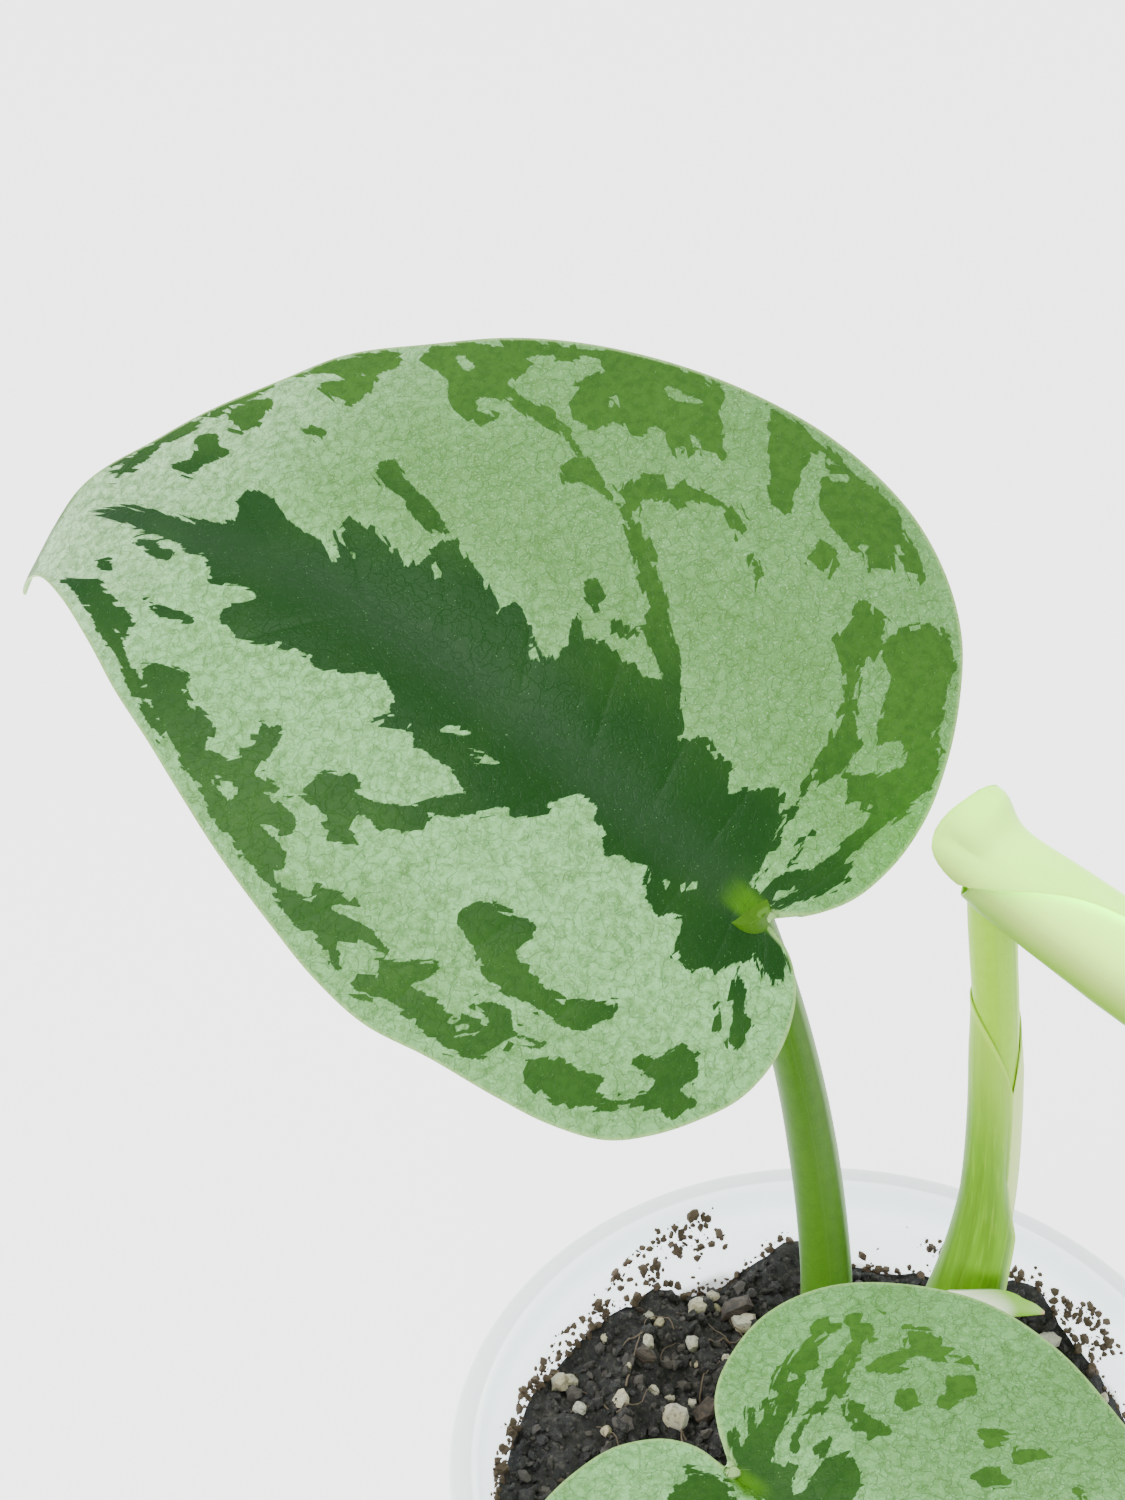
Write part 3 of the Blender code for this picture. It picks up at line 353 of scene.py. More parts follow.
# Lamps: name, place, target, size across, and share of the lamp power
LAMPS = [("key", (-0.5, -0.2, 0.9), (0, 0, 0.1), 0.7, 1.0), ("fill", (0.7, 0.5, 0.8), (0, 0, 0.08), 0.25, 0.35)]


def screen(red, green, blue):
    """A linear colour from the three numbers, 0 to 255, that a screen shows it with."""
    return tuple(((value / 255 + 0.055) / 1.055) ** 2.4 for value in (red, green, blue))


def length(name, description, millimetres):
    return FloatProperty(name=name, description=description, default=millimetres * MM, unit="LENGTH", precision=5)


def colour(name, description, value):
    return FloatVectorProperty(name=name, description=description, default=value, subtype="COLOR", min=0, max=1)


def count(name, description, value):
    return IntProperty(name=name, description=description, default=value, min=1)


def chosen(title):
    """The sizes and colours that are set in the panel for a group of pieces."""
    return getattr(bpy.context.scene, "pothos_" + title)


def darkened(shade, factor):
    return tuple(value * factor for value in shade)


class PotSettings(bpy.types.PropertyGroup):
    """Sizes and colours of the nursery pot."""

    height: length("Height", "From the table to the top of the rim", 78)
    rim_radius: length("Rim radius", "From the axis to the outside of the rim", 45)
    rim_width: length("Rim width", "How far the rim stands out from the wall", 2.4)
    rim_depth: length("Rim depth", "How far the rim turns down", 4.5)
    foot_radius: length("Foot radius", "Radius of the underside", 32)
    wall: length("Wall", "Thickness of the wall", 1.1)
    floor: length("Floor", "Thickness of the floor", 1.4)
    drain_radius: length("Drain radius", "Radius of a drain hole", 3)
    drain_circle: length("Drain circle", "From the axis to the drain holes", 22)
    drains: count("Drains", "Number of drain holes", 8)
    sides: count("Sides", "Steps round the pot", 160)
    plastic: colour("Plastic", "Milky plastic with light behind it", (0.84, 0.9, 0.94))
    # glow and its strength are a painted glow: the plastic gives off light, standing in for light that comes through
    # it
    glow: colour("Glow", "Light that comes through the plastic", (0.76, 0.86, 0.9))
    painted_glow_strength: FloatProperty(name="Shine", description="Strength of that light", default=2.1)
    # shade is painted shade: below the mix the plastic is painted darker, as if the dark mix showed through it
    shade: colour("Shade", "Potting mix seen through the plastic", screen(62, 56, 52))


class MixSettings(bpy.types.PropertyGroup):
    """Sizes and colours of the potting mix."""

    level: length("Level", "Height of its surface before lumps and banks", 65)
    lump: length("Lumps", "Height of its lumps", 3.0)
    lump_size: length("Lump size", "Distance between lumps", 7)
    crumbs: count("Crumbs", "Number of peat crumbs on the surface", 2300)
    grit: count("Grit", "Number of fine crumbs of peat", 4200)
    grains: count("Perlite grains", "Number of pale grains placed by chance", 46)
    chips: count("Bark chips", "Number of bark chips", 60)
    fibres: count("Fibres", "Number of coir fibres and fine roots", 150)
    peat: colour("Peat", "Damp peat", screen(40, 38, 39))
    peat_light: colour("Dry peat", "Dry crumbs of peat", screen(92, 84, 80))
    stuck: colour("Stuck crumbs", "Crumbs on the wall above the mix", screen(98, 80, 64))
    perlite: colour("Perlite", "Pale grains", screen(190, 184, 170))
    bark: colour("Bark", "Bark chips", screen(80, 66, 56))
    fibre: colour("Fibre", "Coir fibres", screen(118, 100, 84))


class StalkSettings(bpy.types.PropertyGroup):
    """Sizes and colours of the vine, its stalks, the sheath and the bract."""

    vine_radius: length("Vine radius", "Radius of the vine", 3.9)
    sides: count("Sides", "Steps round a stalk", 40)
    steps: count("Steps", "Steps along a stalk", 90)
    green: colour("Stalk green", "Grown stalks", (0.062, 0.176, 0.005))
    light: colour("Stripe", "The pale line along a stalk's margin", (0.11, 0.26, 0.035))
    young: colour("Young green", "The new leaf's stalk", (0.32, 0.62, 0.012))
    sheath: colour("Sheath", "The sheath's green", (0.15, 0.37, 0.004))
    margin: colour("Sheath margin", "The sheath's thin pale margin", (0.44, 0.72, 0.06))
    pale: colour("Pale strip", "The thin, pale inner side of the sheath", (0.6, 0.8, 0.26))
    bract_green: colour("Bract green", "The bract's green end", (0.2, 0.48, 0.01))
    bract: colour("Bract", "The pale bract", (0.94, 0.99, 0.78))
    tip: colour("Bract tip", "The dry end of the bract", screen(178, 146, 84))


class LeafSettings(bpy.types.PropertyGroup):
    """Sizes and colours of the satin leaves."""

    thickness: length("Thickness", "Thickness of a blade between its veins", 0.5)
    rim: length("Rim", "Thickness of a blade at its margin", 0.28)
    vein_depth: length("Vein depth", "How deep the side veins lie", 0.1)
    wave: length("Wave", "How far the blade waves between its veins", 0.5)
    rows: count("Rows", "Steps from the notch to the tip", 230)
    columns: count("Columns", "Steps from the midrib to each edge", 90)
    silver: colour("Silver", "Silver splashes", (0.27, 0.635, 0.235))
    # silver_green is a greener tone in the silver's patches and specks and on the underside, and also painted shade
    # on the shaded half
    silver_green: colour("Silver green", "Silver of the far half", (0.088, 0.23, 0.042))
    dark: colour("Dark green", "Dark markings near the midrib", (0.006, 0.05, 0.004))
    bright: colour("Bright green", "Dark markings near the margins", (0.06, 0.175, 0.02))
    # frost is also the colour of the painted glitter specks
    frost: colour("Frost", "The palest silver, at the tip and in its grains", (0.5, 0.82, 0.45))
    midrib: colour("Midrib", "The dusty band along the midrib", (0.026, 0.062, 0.027))
    sinus: colour("Sinus", "The yellow green where the stalk joins", (0.055, 0.18, 0.003))
    rim_colour: colour("Rim colour", "The pale line round the margin", (0.34, 0.58, 0.19))
    underside: colour("Underside", "The leaf's underside", (0.17, 0.34, 0.09))


class RollSettings(bpy.types.PropertyGroup):
    """Sizes and colours of the rolled new leaf."""

    thickness: length("Thickness", "Thickness of the rolled blade", 0.4)
    rows: count("Rows", "Steps along the roll", 120)
    columns: count("Columns", "Steps from the midrib to each edge", 110)
    # pale is the roll's lit colour; shaded is painted shade on the side that faces down, and glow is a painted glow
    # where it faces up, for light through the thin young leaf
    pale: colour("Pale green", "The rolled leaf's outside in the light", (0.76, 0.98, 0.25))
    deep: colour("Deeper green", "The rolled leaf's outside near its margin", (0.48, 0.8, 0.12))
    glow: colour("Glow", "Light that comes through the thin young leaf", (0.28, 1.0, 0.0))
    shaded: colour("Shaded green", "The side of the roll that faces down", (0.17, 0.37, 0.015))
    inner: colour("Inside", "The rolled leaf's inside", (0.9, 0.98, 0.55))


class StageSettings(bpy.types.PropertyGroup):
    """The camera, the lights and the floor."""

    eye: FloatVectorProperty(name="Camera", description="Place of the camera", default=(-0.032, -0.212, 0.357),
                             subtype="TRANSLATION", unit="LENGTH")
    pitch: FloatProperty(name="Pitch", description="How far the camera looks down", default=math.radians(39.5),
                         unit="ROTATION")
    lens: FloatProperty(name="Lens", description="Focal length in millimetres", default=72)
    sensor: FloatProperty(name="Sensor", description="The sensor's long side in millimetres", default=36)
    floor_size: length("Floor size", "Side of the floor", 40000)
    floor: colour("Floor", "The floor's colour", (0.93, 0.93, 0.93))
    glow: FloatProperty(name="Glow", description="Light that comes up through the floor", default=2.2)
    sky: FloatProperty(name="Sky", description="Strength of the light from all round", default=1.08)
    lamp: FloatProperty(name="Lamp", description="Power of the soft lamp in watts", default=8.0)


class Socket:
    """A value on its way through a material's nodes. Arithmetic on it adds Math nodes."""

    def __init__(self, finish, output):
        self.finish = finish
        self.output = output

    def math(self, operation, *values):
        return self.finish.node("ShaderNodeMath", {"operation": operation}, dict(enumerate((self, *values))))

    def __add__(self, other):
        return self.math("ADD", other)

    def __radd__(self, other):
        return self.math("ADD", other)

    def __sub__(self, other):
        return self.math("SUBTRACT", other)

    def __rsub__(self, other):
        return (self * -1.0) + other

    def __mul__(self, other):
        return self.math("MULTIPLY", other)

    def __rmul__(self, other):
        return self.math("MULTIPLY", other)

    def __truediv__(self, other):
        return self.math("DIVIDE", other)

    def rise(self, low, high):
        """0 below low, 1 above high, and smooth between them."""
        values = {"Value": self, "From Min": low, "From Max": high}
        return self.finish.node("ShaderNodeMapRange", {"interpolation_type": "SMOOTHSTEP"}, values)

    def fall(self, low, high):
        return 1.0 - self.rise(low, high)


class Finish:
    """A material whose nodes are written as expressions."""

    def __init__(self, name):
        self.material = bpy.data.materials.new(name)
        self.material.use_nodes = True
        self.tree = self.material.node_tree
        self.surface = self.tree.nodes["Principled BSDF"]

    def node(self, kind, settings=None, values=None, output=0):
        """Adds a node: its settings are set first, then its sockets get values or links."""
        made = self.tree.nodes.new(kind)
        for name, setting in (settings or {}).items():
            setattr(made, name, setting)
        for key, value in (values or {}).items():
            self.feed(made.inputs[key], value)
        return Socket(self, made.outputs[output])

    def feed(self, socket, value):
        if isinstance(value, Socket):
            self.tree.links.new(value.output, socket)
        elif socket.type == "RGBA" and len(value) == 3:
            socket.default_value = (*value, 1.0)
        else:
            socket.default_value = value

    def set(self, **values):
        """Feeds the Principled shader's sockets: base_color is Base Color."""
        for name, value in values.items():
            self.feed(self.surface.inputs[name.replace("_", " ").title()], value)

    def constant(self, name, value):
        """Sets a socket of the Principled shader that is the same all over."""
        self.surface.inputs[name].default_value = value

    def attribute(self, name):
        return self.node("ShaderNodeAttribute", {"attribute_name": name}, output="Fac")

    def vector_attribute(self, name):
        return self.node("ShaderNodeAttribute", {"attribute_name": name}, output="Vector")

    def place(self):
        return self.node("ShaderNodeTexCoord", output="Object")

    def stretch(self, vector, factors):
        return self.node("ShaderNodeVectorMath", {"operation": "MULTIPLY"}, {0: vector, 1: factors})

    def flat_place(self, x, y):
        return self.node("ShaderNodeCombineXYZ", None, {0: x, 1: y})

    def grain(self, vector, size, detail=2.0, roughness=0.5):
        """Noise from 0 to 1 with features of a size in metres."""
        values = {"Vector": vector, "Scale": 1.0 / size, "Detail": detail, "Roughness": roughness}
        return self.node("ShaderNodeTexNoise", None, values)

    def cells(self, vector, size):
        """One random value from 0 to 1 for each cell of a size in metres."""
        values = {"Vector": vector, "Scale": 1.0 / size}
        colours = self.node("ShaderNodeTexVoronoi", None, values, output="Color")
        return self.node("ShaderNodeSeparateColor", None, {0: colours})

    def net(self, vector, size):
        """Distance to the nearest border of cells of a size in metres, as a share of that size."""
        values = {"Vector": vector, "Scale": 1.0 / size}
        return self.node("ShaderNodeTexVoronoi", {"feature": "DISTANCE_TO_EDGE"}, values)

    def mix(self, factor, first, second):
        return self.node("ShaderNodeMix", {"data_type": "RGBA"}, {0: factor, 6: first, 7: second}, output=2)

    def warp(self, vector, size, amount):
        """A place pushed about by noise of a size in metres, by at most half an amount."""
        push = self.node("ShaderNodeTexNoise", None, {"Vector": vector, "Scale": 1.0 / size}, output="Color")
        values = {0: push, 1: (amount, amount, amount), 2: vector}
        return self.node("ShaderNodeVectorMath", {"operation": "MULTIPLY_ADD"}, values)

    def bump(self, height, distance, strength=1.0):
        return self.node("ShaderNodeBump", None, {"Height": height, "Distance": distance, "Strength": strength})


def unit(vector):
    return np.asarray(vector, float) / np.linalg.norm(vector)


def rows_of_units(vectors):
    return vectors / np.maximum(np.linalg.norm(vectors, axis=-1, keepdims=True), 1e-15)


def squared_to(vector, axis):
    """The part of a vector that is square to a unit axis, as a unit vector."""
    vector = np.asarray(vector, float)
    return unit(vector - axis * (vector @ axis))


def smooth_curve(points, steps):
    """Points at even steps along a smooth curve through the given ones."""
    given = np.asarray(points, float)
    sizes = np.linalg.norm(np.diff(given, axis=0), axis=1)
    at = np.concatenate([[0], np.cumsum(sizes)])
    slopes = np.gradient(given, at, axis=0)
    fine = np.linspace(0, at[-1], 40 * len(given))
    k = np.clip(np.searchsorted(at, fine, side="right") - 1, 0, len(sizes) - 1)
    h = sizes[k][:, None]
    s = ((fine - at[k]) / sizes[k])[:, None]
    curve = (
        (1 + 2 * s) * (1 - s) ** 2 * given[k]
        + s * (1 - s) ** 2 * h * slopes[k]
        + s**2 * (3 - 2 * s) * given[k + 1]
        + s**2 * (s - 1) * h * slopes[k + 1]
    )
    along = np.concatenate([[0], np.cumsum(np.linalg.norm(np.diff(curve, axis=0), axis=1))])
    even = np.linspace(0, along[-1], steps)
    return np.stack([np.interp(even, along, curve[:, axis]) for axis in range(given.shape[1])], axis=1)


def spread(values, steps):
    """Values in millimetres spread evenly over a number of steps, in metres."""
    return np.interp(np.linspace(0, 1, steps), np.linspace(0, 1, len(values)), values) * MM


def is_point(row):
    return np.ptp(row, axis=0).max() < 1e-9


def sheet_normals(surface):
    """A unit normal at each point of a grid. A row that is one point takes the mean of its neighbour's."""
    normals = rows_of_units(np.cross(np.gradient(surface, axis=0), np.gradient(surface, axis=1)))
    for row, beside in ((0, 1), (-1, -2)):
        if is_point(surface[row]):
            normals[row] = unit(normals[beside].mean(axis=0))
    return normals


def add_piece(name, points, faces, finishes, finish_of_face=None, attributes=None, sharp=50):
    """A smooth mesh piece with its finishes. attributes maps a name to one value, or one vector, a point."""
    mesh = bpy.data.meshes.new(name)
    mesh.from_pydata(np.asarray(points).tolist(), [], faces)
    for finish in finishes:
        mesh.materials.append(finish.material)
    if finish_of_face is not None:
        mesh.polygons.foreach_set("material_index", np.asarray(finish_of_face, np.int32))
    for title, values in (attributes or {}).items():
        values = np.asarray(values, np.float32)
        kind, field = ("FLOAT_VECTOR", "vector") if values.ndim == 2 else ("FLOAT", "value")
        mesh.attributes.new(title, kind, "POINT").data.foreach_set(field, values.ravel())
    mesh.shade_smooth()
    mesh.set_sharp_from_angle(angle=math.radians(sharp))
    piece = bpy.data.objects.new(name, mesh)
    bpy.context.scene.collection.objects.link(piece)
    return piece


def settle(piece, slot, *nodes):
    """Puts a piece on the plant's one body, and may stand for CAD nodes, which it hides. The slot is not used."""
    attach(piece, "root")
    if nodes:
        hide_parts(*nodes)


def quads_of(first, second):
    """Four-sided faces between neighbouring places of two rows of point numbers."""
    return np.stack([first[..., :-1], second[..., :-1], second[..., 1:], first[..., 1:]], axis=-1).reshape(-1, 4)


def closed_rings(index):
    """Point numbers of rings, with each ring's first point again at its end."""
    return np.concatenate([index, index[:, :1]], axis=1)


def tube_faces(index):
    """Faces of a tube with flat ends, from the point numbers of its rings."""
    closed = closed_rings(index)
    faces = quads_of(closed[:-1], closed[1:])[:, ::-1].tolist()
    return [*faces, index[0][::-1].tolist(), index[-1].tolist()]


def thin_sheet(name, surface, thickness, finishes, attributes):
    """A closed sheet over a grid, with finishes for its upper side, its underside and its rim.

    thickness is a grid too. attributes maps a name to a grid of values or of vectors.
    """
    rows, columns = surface.shape[:2]
    offset = sheet_normals(surface) * thickness[..., None] / 2
    points = np.concatenate([(surface + offset).reshape(-1, 3), (surface - offset).reshape(-1, 3)])
    upper = np.arange(rows * columns).reshape(rows, columns)
    for row in (0, -1):
        if is_point(surface[row]):
            upper[row] = upper[row, 0]
    lower = upper + rows * columns
    rim = np.concatenate([upper[0], upper[1:, -1], upper[-1, -2::-1], upper[-2::-1, 0]])
    top = quads_of(upper[:-1], upper[1:])
    bottom = quads_of(lower[:-1], lower[1:])[:, ::-1]
    sides = np.stack([rim[:-1], rim[1:], rim[1:] + rows * columns, rim[:-1] + rows * columns], axis=1)
    faces, numbers = [], []
    for number, group in enumerate((top, bottom, sides)):
        for face in group.tolist():
            corners = list(dict.fromkeys(face))
            if len(corners) > 2:
                faces.append(corners)
                numbers.append(number)
    used = np.unique(np.concatenate([np.array(face) for face in faces]))
    new_number = np.full(len(points), -1)
    new_number[used] = np.arange(len(used))
    faces = [new_number[face].tolist() for face in faces]
    values = {}
    for title, grid in attributes.items():
        flat = grid.reshape(rows * columns, -1).squeeze()
        values[title] = np.concatenate([flat, flat])[used]
    return add_piece(name, points[used], faces, finishes, numbers, values)


def round_body(name, rings, finish, attributes=None):
    """A closed body from rings of points, as (rings, sides, 3), with flat ends."""
    steps, sides = rings.shape[:2]
    faces = tube_faces(np.arange(steps * sides).reshape(steps, sides))
    values = {title: grid.reshape(-1) for title, grid in (attributes or {}).items()}
    return add_piece(name, rings.reshape(-1, 3), faces, [finish], None, values)


def stalk_rings(path, radii, sides, channel):
    """Rings along a path. The side that faces -Y is shallower by channel."""
    tangents = rows_of_units(np.gradient(path, axis=0))
    front = rows_of_units(np.cross(tangents, (1.0, 0.0, 0.0)))
    side = np.cross(front, tangents)
    turn = np.linspace(0, 2 * math.pi, sides, endpoint=False)
    depth = np.cos(turn) * (1 - channel * np.clip(np.cos(turn), 0, None))
    ring = front[:, None, :] * depth[None, :, None] + side[:, None, :] * np.sin(turn)[None, :, None]
    return path[:, None, :] + radii[:, None, None] * ring, turn


def camera_axes(stage):
    """The way that the camera looks, and the way that is up in its picture."""
    ahead = np.array((0, math.cos(stage.pitch), -math.sin(stage.pitch)))
    return ahead, np.array((0, math.sin(stage.pitch), math.cos(stage.pitch)))


def focal_pixels(stage):
    """The focal length in pixels of the photograph."""
    return stage.lens / stage.sensor * PHOTO_SIZE[1]


def photo_pixels(points):
    """Where places in metres show in the photograph, in pixels of its 1125 x 1500 frame."""
    stage = chosen("stage")
    offset = np.asarray(points) - np.array(stage.eye)
    ahead, up = camera_axes(stage)
    scale = focal_pixels(stage) / (offset @ ahead)
    column = PHOTO_SIZE[0] / 2 + offset[..., 0] * scale
    row = PHOTO_SIZE[1] / 2 - (offset @ up) * scale
    return np.stack([column, row], axis=-1)


def photo_place(column, row, height):
    """The place in metres at a height that shows at a pixel of the photograph."""
    stage = chosen("stage")
    focal = focal_pixels(stage)
    ahead, up = camera_axes(stage)
    ray = ahead + up * (PHOTO_SIZE[1] / 2 - row) / focal
    ray[0] += (column - PHOTO_SIZE[0] / 2) / focal
    eye = np.array(stage.eye)
    return eye + ray * (height - eye[2]) / ray[2]


def outline_distance(pixels, outline):
    """Distance from each pixel place to a closed outline, less than 0 inside it."""
    corners = np.array(outline, float)
    nearest = np.full(len(pixels), np.inf)
    inside = np.zeros(len(pixels), bool)
    for start, end in zip(corners, np.roll(corners, -1, axis=0)):
        edge = end - start
        share = np.clip(((pixels - start) @ edge) / (edge @ edge), 0, 1)
        nearest = np.minimum(nearest, np.linalg.norm(pixels - start - share[:, None] * edge, axis=1))
        crosses = (start[1] > pixels[:, 1]) != (end[1] > pixels[:, 1])
        if start[1] != end[1]:
            at = start[0] + (pixels[:, 1] - start[1]) * edge[0] / edge[1]
            inside ^= crosses & (pixels[:, 0] < at)
    return np.where(inside, -nearest, nearest)


def marking(surface, dark, light):
    """Distance in metres from each point of a blade to its dark markings, less than 0 within them."""
    pixels = photo_pixels(surface).reshape(-1, 2)
    distance = np.min([outline_distance(pixels, outline) for outline in dark], axis=0)
    holes = np.min([outline_distance(pixels, outline) for outline in light], axis=0)
    stage = chosen("stage")
    away = np.linalg.norm(surface.reshape(-1, 3) - np.array(stage.eye), axis=1)
    pixel_size = away * stage.sensor / stage.lens / PHOTO_SIZE[1]
    return (np.maximum(distance, -holes) * pixel_size).reshape(surface.shape[:2])


def flat_blade(right_edge, left_edge, tip, rows, columns):
    """The blade laid flat, as (rows + 1, 2 * columns + 1) places (x, y) in metres, from right edge to left."""
    right = smooth_curve(np.array([*right_edge, tip]) * MM, rows + 1)
    left = smooth_curve(np.array([*left_edge, tip]) * MM, rows + 1)
    notch = (right[0] + left[0]) / 2
    right[0] = left[0] = notch
    end = np.array(tip) * MM
    x = notch[0] + (end[0] - notch[0]) * np.linspace(0, 1, rows + 1) ** ROW_FAN
    middle = np.stack([x, end[1] * (np.clip(x, 0, None) / end[0]) ** MIDRIB_SWING], axis=1)
    share = np.linspace(1, -1, 2 * columns + 1)
    out = (np.abs(share) ** COLUMN_FAN)[None, :, None]
    edge = np.where((share > 0)[None, :, None], right[:, None, :], left[:, None, :])
    return middle[:, None, :] + out * (edge - middle[:, None, :])


def arched(x, length, arch, hook):
    """Run, drop and lean of the midrib at x. It arches by some degrees over a length, and its end hooks more."""
    share = np.linspace(-0.3, 1.3, 1600)
    lean = math.radians(arch) * np.clip(share, 0, None) ** 1.3
    lean += math.radians(hook) * (np.clip(share - 0.88, 0, None) / 0.12) ** 1.5
    step = (share[1] - share[0]) * length
    run = np.cumsum(np.cos(lean)) * step
    drop = np.cumsum(-np.sin(lean)) * step
    at = x / length
    run0, drop0 = np.interp(0, share, run), np.interp(0, share, drop)
    return np.interp(at, share, run) - run0, np.interp(at, share, drop) - drop0, np.interp(at, share, lean)


def bent_blade(grid, pose, relief):
    """Bends a flat blade and puts it in place, with relief added to its height."""
    x, y = grid[..., 0], grid[..., 1]
    arch = arched(x, pose["bend_length"], pose["arch"], 0)
    hooked = arched(x, pose["bend_length"], pose["arch"], pose["hook"])
    near_tip = np.exp(-(((y - pose["tip_side"]) / HOOK_REACH) ** 2))
    run, drop, lean = (plain + (bent - plain) * near_tip for plain, bent in zip(arch, hooked))
    curve = np.where(y > 0, pose["right_curl"], pose["left_curl"])
    across = np.sin(curve * y) / curve
    groove = pose["groove"] * (1 - np.exp(-((y / (5 * MM)) ** 2)))
    height = groove - (1 - np.cos(curve * y)) / curve + relief
    along = unit(pose["along"])
    up = squared_to(pose["face"], along)
    return (
        np.array(pose["place"]) * MM
        + (run + height * np.sin(lean))[..., None] * along
        + across[..., None] * np.cross(along, up)
        + (drop + height * np.cos(lean))[..., None] * up
    )


def vein_grid(grid):
    """For each place of a blade: how far it is across the side veins, and how far out from the midrib."""
    rows, columns = grid.shape[:2]
    middle = grid[:, columns // 2]
    out = np.linalg.norm(grid - middle[:, None, :], axis=2)
    share = np.linspace(0, 1, rows)[:, None]
    side = np.abs(np.linspace(-1, 1, columns))[None, :]
    blade_length = np.linalg.norm(middle[-1] - middle[0])
    return (share - VEIN_SWEEP * side**0.8) * blade_length, out


def margin_distance(grid):
    """Distance of each place of a flat blade from the margin."""
    flat = grid.reshape(-1, 2)
    edge = np.concatenate([grid[:, 0], grid[::-1, -1]])
    nearest = np.full(len(flat), np.inf)
    for start, end in zip(edge, edge[1:]):
        line = end - start
        share = np.clip(((flat - start) @ line) / max(line @ line, 1e-18), 0, 1)
        nearest = np.minimum(nearest, np.linalg.norm(flat - start - share[:, None] * line, axis=1))
    return nearest.reshape(grid.shape[:2])


def blade_relief(across, out, margin, leaf, seed):
    """Height added to a blade: sunk side veins, soft pillows between them and a slow wave."""
    phase = across / VEIN_SPACING
    from_vein = np.abs(phase - np.round(phase)) * VEIN_SPACING
    fade = np.clip(out / (3 * MM), 0, 1) * np.clip(margin / (4 * MM), 0, 1)
    veins = -leaf.vein_depth * np.exp(-((from_vein / (0.7 * MM)) ** 2)) * fade
    wave = np.empty_like(across)
    for place in np.ndindex(across.shape):
        spot = Vector((across[place] / (13 * MM), out[place] / (22 * MM), seed))
        wave[place] = noise.noise(spot)
    return veins + leaf.wave * wave * np.clip(out / (6 * MM), 0, 1)


def vein_distance(finish):
    """Distance in metres from the nearest side vein."""
    return (finish.attribute("across") / VEIN_SPACING).math("PINGPONG", 0.5) * VEIN_SPACING


def torn_border(finish):
    """Distance in metres from the dark markings, torn and frayed along the veins."""
    veins = finish.vector_attribute("veins")
    torn = finish.cells(finish.stretch(veins, (1.0, 0.6, 1.0)), 1.2 * MM) - 0.5
    frayed = finish.grain(finish.stretch(veins, (1.0, 0.45, 1.0)), 0.5 * MM, 3.0, 0.6) - 0.5
    return finish.attribute("mark") + torn * (1.0 * MM) + frayed * (0.75 * MM)


def satin_patterns(finish):
    """The patterns that the silver and the green share, and the distances that both fade over."""
    place = finish.place()
    out = finish.attribute("out")
    return SimpleNamespace(
        out=out,
        to_sinus=finish.attribute("to_sinus"),
        vein_line=vein_distance(finish).fall(0.05 * MM, 0.45 * MM) * out.rise(1 * MM, 4 * MM),
        creases=finish.net(finish.warp(place, 1.6 * MM, 3.4 * MM), 1.8 * MM).fall(0.0, 0.09),
        patches=finish.cells(finish.warp(place, 1.2 * MM, 1.6 * MM), 1.6 * MM),
        crinkles=finish.grain(place, 1.0 * MM, 4.0, 0.62),
        # Fine specks: partly the silver's own speckle, partly painted glitter that stands in for its sparkle
        glitter_and_speckle=finish.grain(place, 0.22 * MM, 2.0, 0.7),
        cloudy=finish.grain(place, 9 * MM, 3.0),
    )


def silver_shade(finish, leaf, seen, far, far_shade):
    """The silver: painted greener as shade on the shaded half, frosted at the tip, and crossed by creases and veins.
    """
    # Painted shade: the silver of the shaded half turns darker green, except towards the tip
    shaded = far * seen.to_sinus.fall(58 * MM, 100 * MM)
    silver = finish.mix(shaded * far_shade + (seen.cloudy - 0.5) * 0.5, leaf.silver, leaf.silver_green)
    # Painted shade: the outer part of the other half is darker too
    silver = finish.mix(seen.out.rise(14 * MM, 30 * MM) * (1.0 - far) * 0.3, silver, leaf.silver_green)
    silver = finish.mix(seen.to_sinus.rise(66 * MM, 96 * MM) * 0.85, silver, leaf.frost)
    # Patches vary the silver's tone; the darker crinkles and the crease lines are painted shade of the blade's fine
    # relief
    silver = finish.mix(seen.patches * 0.16 + seen.crinkles.fall(0.36, 0.6) * 0.5, silver, leaf.silver_green)
    silver = finish.mix(seen.creases * 0.24 + seen.vein_line * 0.16, silver, leaf.bright)
    # Painted glitter: pale specks in the silver stand in for its sparkle
    silver = finish.mix(seen.glitter_and_speckle.rise(0.58, 0.70) * 0.5, silver, leaf.frost)
    return finish.mix(seen.glitter_and_speckle.fall(0.32, 0.46) * 0.4, silver, leaf.silver_green)


def green_shade(finish, leaf, seen, far, fresh):
    """The green of the markings: darkest near the midrib, with a dusty band along it, and painted lighter on the
    shaded half.
    """
    # Painted light: the dark green is lighter on the shaded half
    lightness = seen.out.rise(4 * MM, 26 * MM) * (0.4 + far * 0.35) + (seen.cloudy - 0.5) * 0.5 + fresh
    green = finish.mix(lightness, leaf.dark, leaf.bright)
    green = finish.mix(seen.out.fall(0.6 * MM, 5 * MM) * (0.4 - fresh * 0.5), green, leaf.midrib)
    # Painted shade of the crinkled relief in the green
    green = finish.mix(seen.crinkles.fall(0.35, 0.6) * 0.3, green, leaf.dark)
    # Painted glitter: pale specks in the green as well
    return finish.mix(seen.glitter_and_speckle.rise(0.68, 0.75) * 0.4, green, leaf.silver)


